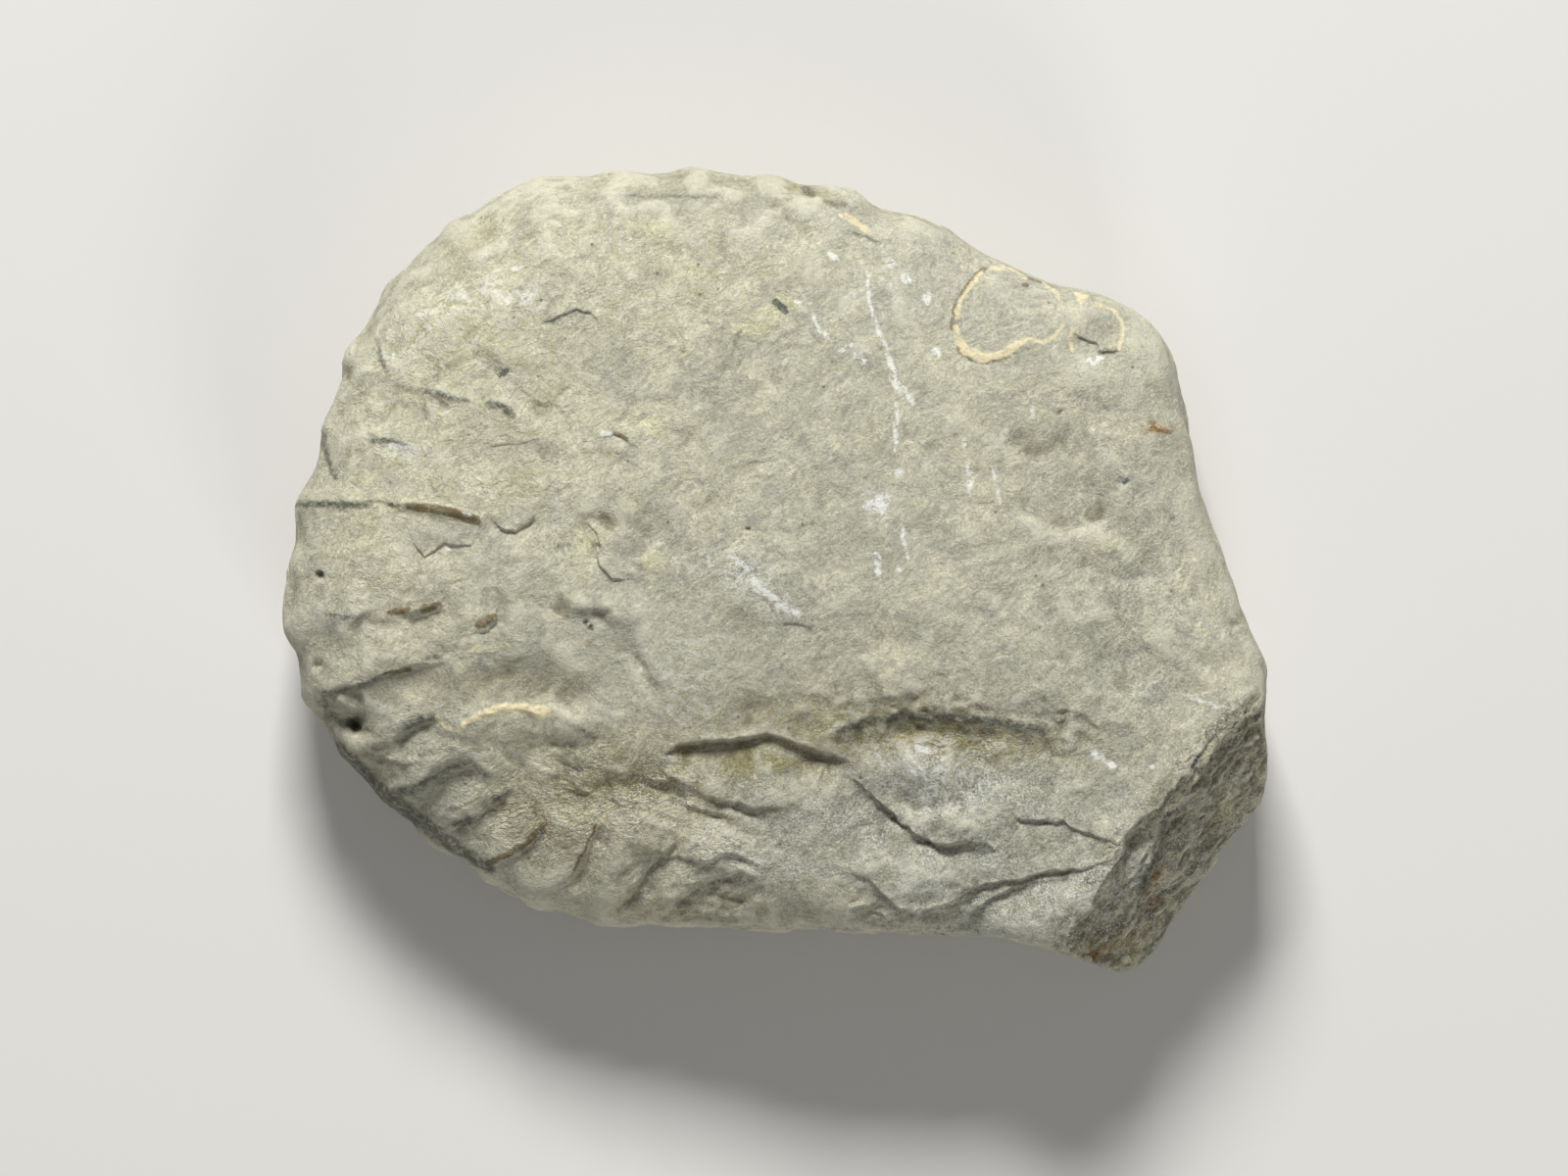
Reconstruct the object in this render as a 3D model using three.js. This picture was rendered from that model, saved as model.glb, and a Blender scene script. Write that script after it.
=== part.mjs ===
import * as THREE from 'three';

// An ammonite in its grey limestone, worn all round and broken off at one corner.
// Millimetres. The stone lies on its back: +X is its length, +Y points to the rounded
// outer edge of the coil, +Z out of the ribbed flank, and Z = 0 is the bedding face under it.

// Driving dimensions.
const girdleHeight = 25;        // the widest line all round
const flankHeight = 54;         // the highest part of the flank, above the bedding face
const flankDome = 3.5;          // how much lower the flank is at its margin
const bellyDepth = 27.4;        // the belly bulges this far under the girdle before it is flat
const coilCentre = [-20, 6];    // where the ribs point to
const ribHeight = 0.9;
const ribWidth = 3.6;
const ribInnerEnd = 48;         // the ribs die out this far from the coil's centre,
const ribFullHeight = 78;       // and stand at their full height from here outwards
const wornLumps = [             // unevenness of the worn surface
  { size: 18, height: 0.8 },
  { size: 7, height: 0.45 },
];
const reliefStart = 0.12;       // the relief of each side fades out towards the girdle, between
const reliefFull = 0.6;         // these shares of the way up
const endShare = 0.22;          // a ledge or fold dies out over this share of its length
const sharedWithin = 1.5;       // how sharply a bent line's place passes from stretch to stretch

// Mesh limits.
const columns = 20;
const longestEdge = 8.4;
const shortestEdge = 2.1;
const surfaceError = 0.46;
const passes = 9;

// The outline in plan, anticlockwise from the right end.
const outline = [
  [104.2, -21], [101.5, -14], [97.4, -2], [94.2, 7], [90.8, 17], [89.4, 25], [87.6, 36], [85.2, 45.5],
  [81, 51.3], [71, 57.4], [58, 60.6], [46, 66.4], [35, 73.6], [24, 75.9], [16, 79.6], [2, 82.2],
  [-13, 84.2], [-32, 83.6], [-50, 82.4], [-62, 77.2], [-72.5, 68.8], [-81.4, 59.8], [-89, 48],
  [-92, 39], [-95.4, 28], [-98, 20], [-101, 12.5], [-102.6, 2], [-104, -7], [-101.6, -18],
  [-99.6, -27], [-94, -36], [-89, -42.8], [-80, -52.4], [-64, -63.9], [-52, -71.2], [-35, -75.6],
  [-12, -76.9], [16, -77.2], [42, -78.4], [62, -82], [75, -86.4], [86, -75], [95, -62],
  [104.2, -48.4], [104, -33],
];

// How square the edge of the stone is: bearing in degrees, then the flank side and the belly side.
const edgeSquareness = [
  [0, 5, 3.6], [40, 4.4, 3.2], [80, 3.7, 2.8], [125, 3.5, 2.7], [180, 3.6, 2.7],
  [215, 2.5, 2.7], [250, 2.7, 3], [270, 4.4, 3.4], [287, 8.5, 3.8], [304, 10, 5], [322, 9, 6],
  [345, 7, 5],
];

// Where the ribs cross the outer edge, as bearings in degrees from the coil's centre.
const ribBearings = [
  63, 75, 87, 99, 112, 126, 139, 151, 163, 174, 183.5, 193.5, 203.5, 213, 222.5, 231, 239.5, 249, 259,
];

// Edges of broken layers on the flank. Walking along the line, the stone drops on the right:
// by "drop", over the width "face", and it has risen again at about "reach".
const flankLedges = [
  { line: [[-24, -40.2], [-20.8, -37.7], [-16.7, -36.4], [-6.4, -35.3], [-1.4, -34.5], [5.5, -36.8],
    [12, -39.2]],
    drop: 6, face: 1.4, reach: 10 },
  { line: [[4, -36], [12, -31.5], [20, -28], [30, -26.6], [42, -27.4], [54, -29], [66, -31], [76, -35]],
    drop: 1.8, face: 9, reach: 50 },
  { line: [[8, -34.8], [14, -33.2], [20, -31.4], [28.7, -30.2], [36, -30.4], [42, -31.6], [48, -33],
    [57, -34.8], [67, -38]],
    drop: 2.8, face: 4, reach: 46 },
  { line: [[-14, -28], [-4, -26.6], [6, -25.8], [14, -27.6], [24, -27.4], [38, -27]],
    drop: 1.1, face: 2.4, reach: 9 },
  { line: [[14, -42], [21.8, -48.7], [29.1, -55.3], [33.4, -57.6], [37.6, -58.5], [41, -57.6],
    [44, -57.8], [49, -60]],
    drop: 2.5, face: 0.8, reach: 14 },
  { line: [[50, -52.4], [53.3, -53], [57, -53], [61, -53.4], [66, -56], [76, -59]],
    drop: 1.6, face: 0.8, reach: 8 },
  { line: [[12, -64], [19.9, -65.2], [23.2, -68.5], [26.5, -71.8], [31, -73], [36.5, -70.8], [42, -67.5],
    [46.4, -66.4], [53, -65.3], [59.6, -63.6], [66.3, -63.1], [73, -61]],
    drop: 2.1, face: 0.8, reach: 10 },
  { line: [[17, -71], [22.5, -72.6], [25.4, -75.2], [29.8, -76.3], [36.5, -75.8], [39.8, -74.1],
    [44.2, -70.8], [47.5, -68.6], [53, -66.6], [63, -64.4]],
    drop: 1.8, face: 0.8, reach: 7 },
  { line: [[69, -78], [71.7, -68], [72.3, -62], [74, -56.4], [79, -50.6]], drop: 4, face: 1.4, reach: 16 },
  { line: [[-66, -37], [-50, -33.4], [-38, -34.6], [-28, -38], [-20, -39.6]], drop: 3, face: 8, reach: 26 },
  { line: [[-82, -23], [-67, -19], [-57, -17.6], [-45, -17.6], [-32, -20]], drop: 1.3, face: 8, reach: 14 },
  { line: [[-36, -5], [-31.4, -12.2], [-26, -21], [-20, -30]], drop: 1.7, face: 3, reach: 9 },
  { line: [[-103, 14.6], [-90, 14], [-77.6, 13.9], [-70, 13.4], [-61, 10.4]],
    drop: 0.8, face: 1.2, reach: 8 },
  { line: [[-92, -11], [-81.4, -9.8], [-68, -7.2]], drop: 0.5, face: 1.2, reach: 7 },
  { line: [[-98, -26.6], [-95, -26.6], [-85.2, -24], [-81.6, -22.2], [-76.4, -21], [-66, -18.6]],
    drop: 1.4, face: 0.9, reach: 10 },
  { line: [[-80, 39.4], [-74.1, 37.3], [-64.2, 34.5]], drop: 0.6, face: 1.4, reach: 7 },
  { line: [[-62, 35], [-60.4, 34.7], [-57, 34], [-54, 31]], drop: 0.6, face: 1, reach: 5 },
  { line: [[-90, 27], [-81, 26.9], [-74, 25.2]], drop: 0.6, face: 1.4, reach: 6 },
  { line: [[-81, -36], [-78.5, -34.3], [-75.4, -32.5], [-69, -31]], drop: 1.5, face: 1.2, reach: 7 },
  { line: [[-84, -49], [-76.4, -47.2], [-73.4, -45.2], [-68.2, -42.6], [-60, -40]],
    drop: 1.8, face: 1.2, reach: 8 },
  { line: [[-71, -57], [-67.2, -54.6], [-63, -52.9], [-59.4, -49.3], [-53, -44]],
    drop: 1.8, face: 1.2, reach: 8 },
  { line: [[-64, -64.5], [-57.9, -61.9], [-54.8, -60.3], [-51.7, -58], [-47, -52.4]],
    drop: 1.9, face: 1.2, reach: 8 },
  { line: [[-52, -70], [-44, -65.4], [-40.9, -61], [-36.4, -52]], drop: 1.8, face: 1.8, reach: 9 },
  { line: [[-38, -74], [-31, -68.5], [-26.5, -63], [-20, -56]], drop: 2.7, face: 1.4, reach: 7 },
  { line: [[-27, -76], [-20, -69.4], [-15, -66], [-4, -62]], drop: 2.6, face: 1.4, reach: 7 },
  { line: [[-30, -44], [-20, -44.6], [-14, -48], [-4, -50], [8, -50]], drop: 2, face: 1.6, reach: 8 },
  { line: [[-37, 27], [-34.6, 32], [-31, 35.6], [-25, 36.4], [-17, 35.6]], drop: 0.6, face: 1.6, reach: 6 },
];

// Crests and troughs on the flank: "rise" along the line, falling away over "spread".
const flankFolds = [
  { line: [[-70, -36], [-60, -31.6], [-47, -30.4], [-38, -31], [-26, -35]], rise: 1.7, spread: 3.6 },
  { line: [[-92, -31], [-70, -27], [-48, -25], [-26, -27]], rise: -0.8, spread: 4.5 },
  { line: [[48, 36], [60, 24], [68, 12], [73, -4], [73, -20], [70, -36]], rise: -1.4, spread: 7 },
  { line: [[74, 32], [84, 21], [90, 8], [93, -6]], rise: 1.2, spread: 5 },
  { line: [[104, -20], [96, -32], [88, -43], [77, -56], [70, -67], [64, -80]], rise: 2.2, spread: 7 },
  { line: [[62, 10], [70, 5], [79, 0]], rise: 0.8, spread: 3 },
  { line: [[-46, 24], [-43, 8], [-45, -6]], rise: 0.8, spread: 4 },
  { line: [[-93, -27.6], [-86.6, -31.4]], rise: 1.4, spread: 1.6 },
];

// Single swellings and hollows of the flank: place, half-lengths, turn in degrees and rise.
const flankLumps = [
  { at: [-60, 55], size: [22, 14], turn: 45, rise: 1.1 },
  { at: [-2, 30], size: [30, 16], turn: 10, rise: -0.9 },
  { at: [15, -8], size: [26, 12], turn: 0, rise: 0.9 },
  { at: [-88.4, -33.2], size: [2.8, 2], turn: -20, rise: -2.6 },
  { at: [1.8, 54.6], size: [2.6, 2.2], turn: -30, rise: -1.3 },
  { at: [69.5, 48.5], size: [5, 3.6], turn: 10, rise: -1.5 },
  { at: [32, -66], size: [8, 5], turn: 10, rise: 1.2 },
  { at: [38, -46], size: [14, 8], turn: -25, rise: 1.5 },
  { at: [34, -64], size: [10, 4], turn: 5, rise: 0.9 },
  { at: [58, -71], size: [12, 6], turn: 15, rise: 1.2 },
  { at: [-30, -58], size: [7, 4], turn: 45, rise: 1.3 },
  { at: [-74, -3], size: [9, 5], turn: 10, rise: 0.7 },
  { at: [-25, 30.5], size: [7.5, 5.5], turn: 5, rise: 0.6 },
  { at: [-53.6, 12], size: [3.6, 3], turn: 0, rise: 0.5 },
];

// The belly's own ledges and lumps, in the same terms, seen through the stone from above.
const bellyLedges = [
  { line: [[-88, 30], [-70, 44], [-52, 50], [-30, 62]], drop: 2.4, face: 2, reach: 14 },
  { line: [[60, 30], [72, 8], [74, -18], [66, -40]], drop: 2.6, face: 2.4, reach: 12 },
  { line: [[-60, -52], [-34, -58], [-8, -55], [16, -62]], drop: 2.2, face: 2, reach: 12 },
];
const bellyLumps = [
  { at: [-78, -12], size: [16, 10], turn: 60, rise: 1.6 },
  { at: [24, 64], size: [18, 9], turn: -15, rise: 1.8 },
  { at: [52, -60], size: [14, 9], turn: 30, rise: -1.8 },
  { at: [84, 26], size: [10, 16], turn: 0, rise: -1.6 },
];

// Where the flank is worn smooth, in the same terms: "rise" is the share of the lumps worn away.
const calmAreas = [
  { at: [30, 4], size: [55, 34], turn: 0, rise: 0.65 },
  { at: [-10, 62], size: [45, 16], turn: 0, rise: 0.3 },
];

// The broken face at the corner: its bearing, its distance from the origin at the given height,
// and how far it comes out for each millimetre down.
const brokenFace = { bearing: -38, distance: 96.4, height: 50, lean: 0.7 };

// Lumps of the broken face, placed by how far along it they are and by their height.
const faceLumps = [
  { at: [9, 46], size: [8, 8], turn: 0, rise: -1.6 },
  { at: [0, 42], size: [6, 5], turn: 0, rise: 1.8 },
  { at: [-6, 33], size: [5, 7], turn: 0, rise: -2.4 },
  { at: [21, 36], size: [14, 10], turn: 0, rise: 1.2 },
  { at: [-18, 28], size: [8, 8], turn: 0, rise: 1.6 },
];
const faceWear = [              // unevenness of the broken face, drawn out along it
  { length: 14, width: 6, height: 1 },
  { length: 5, width: 2.4, height: 0.9 },
];

const radians = Math.PI / 180;
const clamp01 = (value) => Math.min(Math.max(value, 0), 1);
const smoothStep = (low, high, value) => {
  const t = clamp01((value - low) / (high - low));
  return t * t * (3 - 2 * t);
};

// A smooth closed curve through stops [bearing, value, ...], read at one bearing.
function makeRing(stops, column) {
  const sorted = [...stops].sort((a, b) => a[0] - b[0]);
  const count = sorted.length;
  const stop = (i) => {
    const turns = Math.floor(i / count);
    const entry = sorted[i - turns * count];
    return { angle: entry[0] + turns * 360, value: entry[column] };
  };
  const slope = (i) => (stop(i + 1).value - stop(i - 1).value) / (stop(i + 1).angle - stop(i - 1).angle);
  return (bearing) => {
    const angle = ((bearing - sorted[0][0]) % 360 + 360) % 360 + sorted[0][0];
    let i = count - 1;
    while (stop(i).angle > angle) i -= 1;
    const from = stop(i);
    const to = stop(i + 1);
    const span = to.angle - from.angle;
    const t = (angle - from.angle) / span;
    const bend = (1 - t) * slope(i) * span * t * (1 - t) - t * slope(i + 1) * span * t * (1 - t);
    return from.value + (to.value - from.value) * t * t * (3 - 2 * t) + bend;
  };
}

const outlineStops = outline.map(([x, y]) => {
  const angle = Math.atan2(y, x) / radians;
  return [(angle + 360) % 360, Math.hypot(x, y)];
});
const outlineRadius = makeRing(outlineStops, 1);
const flankSquareness = makeRing(edgeSquareness, 1);
const bellySquareness = makeRing(edgeSquareness, 2);

// A steady random value from 0 to 1 at each corner of a cubic lattice.
function cornerValue(i, j, k) {
  let mix = Math.imul(i, 374761393) + Math.imul(j, 668265263) + Math.imul(k, 1440662683);
  mix = Math.imul(mix ^ (mix >>> 13), 1274126177);
  return ((mix ^ (mix >>> 16)) >>> 0) / 4294967296;
}

// Smooth noise from -1 to 1 at a point, with lumps about as wide as "size".
function noise(point, size, start = 0) {
  const [x, y, z] = point.toArray().map((value) => value / size + start);
  const i = Math.floor(x);
  const j = Math.floor(y);
  const k = Math.floor(z);
  const u = smoothStep(0, 1, x - i);
  const v = smoothStep(0, 1, y - j);
  const w = smoothStep(0, 1, z - k);
  let sum = 0;
  for (let corner = 0; corner < 8; corner += 1) {
    const a = corner & 1;
    const b = (corner >> 1) & 1;
    const c = corner >> 2;
    const share = (a ? u : 1 - u) * (b ? v : 1 - v) * (c ? w : 1 - w);
    sum += share * cornerValue(i + a, j + b, k + c);
  }
  return 2 * sum - 1;
}

// Where (x, y) lies by a line of points: how far from it, how far to its right, and how far
// along it from 0 to 1. Where two stretches are about as near, the last is shared between them.
function besideLine(line, x, y) {
  const stretches = [];
  for (let i = 0; i + 1 < line.length; i += 1) {
    const [ax, ay] = line[i];
    const dx = line[i + 1][0] - ax;
    const dy = line[i + 1][1] - ay;
    const t = clamp01(((x - ax) * dx + (y - ay) * dy) / (dx * dx + dy * dy));
    const distance = Math.hypot(x - ax - t * dx, y - ay - t * dy);
    const side = Math.sign((x - ax) * dy - (y - ay) * dx);
    stretches.push({ distance, side, along: (i + t) / (line.length - 1) });
  }
  const nearest = stretches.reduce((best, next) => (next.distance < best.distance ? next : best));
  const gap = nearest.distance;
  let total = 0;
  let along = 0;
  for (const stretch of stretches) {
    const share = Math.exp((gap - stretch.distance) / sharedWithin);
    total += share;
    along += share * stretch.along;
  }
  return { gap, along: along / total, right: nearest.side * gap };
}

// Ledges and folds die out at both ends.
const endTaper = (along) => smoothStep(0, endShare, along) * smoothStep(1, 1 - endShare, along);

// The step of a ledge is uneven along its length, in drop and in width.
function ledgeHeight(ledges, x, y) {
  const uneven = noise(new THREE.Vector3(x, y, 0), 7, 13);
  let height = 0;
  for (const { line, drop, face, reach } of ledges) {
    const { along, right } = besideLine(line, x, y);
    const step = smoothStep(0, face * (1.1 + 0.5 * uneven), right) * Math.exp(-((right / reach) ** 2));
    height -= drop * (0.85 + 0.4 * uneven) * step * endTaper(along);
  }
  return height;
}

function foldHeight(folds, x, y) {
  let height = 0;
  for (const { line, rise, spread } of folds) {
    const { gap, along } = besideLine(line, x, y);
    height += rise * Math.exp(-((gap / spread) ** 2)) * endTaper(along);
  }
  return height;
}

function lumpsHeight(lumps, x, y) {
  let height = 0;
  for (const { at, size, turn, rise } of lumps) {
    const dx = x - at[0];
    const dy = y - at[1];
    const along = dx * Math.cos(turn * radians) + dy * Math.sin(turn * radians);
    const across = dy * Math.cos(turn * radians) - dx * Math.sin(turn * radians);
    height += rise * Math.exp(-((along / size[0]) ** 2) - (across / size[1]) ** 2);
  }
  return height;
}

// The ribs stand up round the outer edge and die out towards the coil's centre.
function ribsHeight(x, y) {
  const dx = x - coilCentre[0];
  const dy = y - coilCentre[1];
  const distance = Math.hypot(dx, dy);
  const bearing = (Math.atan2(dy, dx) / radians + 360) % 360;
  let height = 0;
  for (const rib of ribBearings) {
    const across = (bearing - rib) * radians * distance;
    height += Math.exp(-((across / ribWidth) ** 2));
  }
  return ribHeight * height * smoothStep(ribInnerEnd, ribFullHeight, distance);
}

// Cuts a point back to the broken face, straight towards the stone's middle.
function cutBack(point) {
  const { bearing, distance, height, lean } = brokenFace;
  const cosine = Math.cos(bearing * radians);
  const sine = Math.sin(bearing * radians);
  const facing = point.x * cosine + point.y * sine;
  const across = point.y * cosine - point.x * sine;
  const level = point.z - girdleHeight;
  let limit = distance + lean * (height - girdleHeight) + lumpsHeight(faceLumps, across, point.z);
  for (const wear of faceWear) {
    const place = new THREE.Vector3(across / wear.length, -facing / wear.width, point.z / wear.width);
    limit += wear.height * noise(place, 1, 2);
  }
  const share = Math.min(1, limit / Math.max(facing + lean * level, 1e-6));
  point.set(point.x * share, point.y * share, girdleHeight + level * share);
}

// The point of the stone's surface in one direction from its middle: a drum with its edges
// rounded off, then ribs and lumps, then the reliefs of its two sides, then the broken face.
function surfacePoint(direction) {
  const round = Math.hypot(direction.x, direction.y);
  const bearing = Math.atan2(direction.y, direction.x) / radians;
  const onFlank = direction.z > 0;
  const side = onFlank ? 1 : -1;
  const square = onFlank ? flankSquareness(bearing) : bellySquareness(bearing);
  const shrink = (round ** square + Math.abs(direction.z) ** square) ** (-1 / square);
  const out = round * shrink;
  const up = Math.abs(direction.z) * shrink;
  const radius = outlineRadius(bearing);
  const reach = onFlank ? flankHeight - girdleHeight - flankDome * out * out : bellyDepth;
  const unit = new THREE.Vector3(Math.cos(bearing * radians), Math.sin(bearing * radians), 0);
  const point = unit.clone().multiplyScalar(radius * out);
  const x = point.x;
  const y = point.y;
  point.z = girdleHeight + side * up * reach;

  const normal = unit.multiplyScalar(out ** (square - 1) / radius);
  normal.z = side * up ** (square - 1) / reach;
  normal.normalize();
  const calm = onFlank ? lumpsHeight(calmAreas, x, y) : 0;
  const strength = (1 - calm) * (0.5 + 0.5 * smoothStep(0.1, 0.5, up));
  let lumps = 0;
  for (const { size, height } of wornLumps) lumps += strength * height * noise(point, size);
  point.addScaledVector(normal, ribsHeight(x, y) - ribHeight / 2 + lumps);

  const ledges = ledgeHeight(onFlank ? flankLedges : bellyLedges, x, y);
  const folds = onFlank ? foldHeight(flankFolds, x, y) : 0;
  const swellings = lumpsHeight(onFlank ? flankLumps : bellyLumps, x, y);
  point.z += side * smoothStep(reliefStart, reliefFull, up) * (ledges + folds + swellings);
  cutBack(point);
  point.z = Math.max(point.z, 0);
  return point;
}

// A closed mesh of directions from the stone's middle: rings on a drum, and a point at each end.
function coarseDrum() {
  const directions = [new THREE.Vector3(0, 0, 1)];
  const rings = [[0.45, 1], [1, 1], [1, 0], [1, -1], [0.45, -1]];
  for (const [out, up] of rings) {
    for (let i = 0; i < columns; i += 1) {
      const angle = 2 * Math.PI * i / columns;
      directions.push(new THREE.Vector3(out * Math.cos(angle), out * Math.sin(angle), up));
    }
  }
  directions.push(new THREE.Vector3(0, 0, -1));
  const triangles = [];
  for (let i = 0; i < columns; i += 1) {
    const next = (i + 1) % columns;
    triangles.push([0, 1 + i, 1 + next]);
    for (let ring = 0; ring + 1 < rings.length; ring += 1) {
      const upper = 1 + ring * columns;
      const lower = upper + columns;
      triangles.push([upper + i, lower + i, lower + next], [upper + i, lower + next, upper + next]);
    }
    const lowest = 1 + (rings.length - 1) * columns;
    triangles.push([lowest + i, directions.length - 1, lowest + next]);
  }
  return { directions, points: directions.map(surfacePoint), triangles };
}

// The direction part of the way from one corner to another, brought back onto the drum.
function between(mesh, a, b, share) {
  const direction = mesh.directions[a].clone().lerp(mesh.directions[b], share);
  return direction.divideScalar(Math.max(Math.hypot(direction.x, direction.y), Math.abs(direction.z)));
}

// An edge is too coarse where it is long or where the surface bows away from it.
function tooCoarse(mesh, a, b) {
  const length = mesh.points[a].distanceTo(mesh.points[b]);
  if (length > longestEdge) return true;
  if (length < 2 * shortestEdge) return false;
  return [0.25, 0.5, 0.75].some((share) => {
    const straight = mesh.points[a].clone().lerp(mesh.points[b], share);
    return straight.distanceTo(surfacePoint(between(mesh, a, b, share))) > surfaceError;
  });
}

// Splits every edge that is too coarse, and the longest edge of each triangle beside it,
// so that the triangles stay well shaped.
function refine(mesh) {
  const { directions, points, triangles } = mesh;
  const edgeName = (a, b) => (a < b ? `${a}_${b}` : `${b}_${a}`);
  const edgesOf = ([a, b, c]) => [[a, b], [b, c], [c, a]];
  const verdicts = new Map();
  const middles = new Map();
  for (const triangle of triangles) {
    for (const [a, b] of edgesOf(triangle)) {
      const name = edgeName(a, b);
      if (!verdicts.has(name)) verdicts.set(name, tooCoarse(mesh, a, b));
      if (verdicts.get(name)) middles.set(name, [a, b]);
    }
    const lengths = edgesOf(triangle).map(([a, b]) => points[a].distanceTo(points[b]));
    const longest = lengths.indexOf(Math.max(...lengths));
    triangle.push(...triangle.splice(0, longest));
  }
  for (let before = -1; before !== middles.size;) {
    before = middles.size;
    for (const triangle of triangles) {
      const [first, ...others] = edgesOf(triangle);
      if (others.some(([a, b]) => middles.has(edgeName(a, b)))) middles.set(edgeName(...first), first);
    }
  }
  for (const [name, [a, b]] of middles) {
    const direction = between(mesh, a, b, 0.5);
    middles.set(name, directions.length);
    directions.push(direction);
    points.push(surfacePoint(direction));
  }
  mesh.triangles = triangles.flatMap(([a, b, c]) => {
    const ab = middles.get(edgeName(a, b));
    if (ab === undefined) return [[a, b, c]];
    const bc = middles.get(edgeName(b, c));
    const ca = middles.get(edgeName(c, a));
    const nearB = bc === undefined ? [[ab, b, c]] : [[ab, b, bc], [ab, bc, c]];
    const nearA = ca === undefined ? [[a, ab, c]] : [[a, ab, ca], [ab, c, ca]];
    return [...nearB, ...nearA];
  });
}

function stoneGeometry() {
  const mesh = coarseDrum();
  for (let pass = 0; pass < passes; pass += 1) refine(mesh);
  const geometry = new THREE.BufferGeometry();
  const positions = mesh.points.flatMap((point) => point.toArray());
  geometry.setAttribute('position', new THREE.Float32BufferAttribute(positions, 3));
  geometry.setIndex(mesh.triangles.flat());
  geometry.computeBoundingBox();
  const middle = geometry.boundingBox.getCenter(new THREE.Vector3());
  geometry.translate(-middle.x, -middle.y, 0);
  geometry.computeVertexNormals();
  return geometry;
}

const limestone = new THREE.MeshStandardMaterial({ color: 0xa8a592, roughness: 0.95, metalness: 0 });
const stone = new THREE.Mesh(stoneGeometry(), limestone);
stone.name = 'ammonite_stone';

const group = new THREE.Group();
group.add(stone);

export default group;
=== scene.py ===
# Ammonite fossil in grey limestone: a worn, ribbed half of the coil, lying flank up.
import math

import bpy
import numpy as np
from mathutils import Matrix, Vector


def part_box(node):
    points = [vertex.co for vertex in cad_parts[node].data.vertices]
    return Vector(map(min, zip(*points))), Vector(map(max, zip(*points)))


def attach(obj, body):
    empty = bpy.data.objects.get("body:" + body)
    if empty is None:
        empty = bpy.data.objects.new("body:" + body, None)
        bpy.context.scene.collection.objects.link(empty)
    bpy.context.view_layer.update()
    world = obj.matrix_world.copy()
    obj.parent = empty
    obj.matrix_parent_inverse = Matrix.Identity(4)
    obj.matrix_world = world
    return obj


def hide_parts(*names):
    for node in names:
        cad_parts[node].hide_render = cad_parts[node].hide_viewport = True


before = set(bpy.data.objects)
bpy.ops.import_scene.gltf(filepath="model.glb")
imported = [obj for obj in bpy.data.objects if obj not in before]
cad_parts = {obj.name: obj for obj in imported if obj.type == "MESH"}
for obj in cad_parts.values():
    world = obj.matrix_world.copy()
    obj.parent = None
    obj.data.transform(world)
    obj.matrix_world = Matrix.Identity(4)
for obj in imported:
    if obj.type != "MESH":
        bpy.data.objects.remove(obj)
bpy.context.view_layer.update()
print("frame loaded:", len(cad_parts), "nodes")

radians = math.pi / 180

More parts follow.
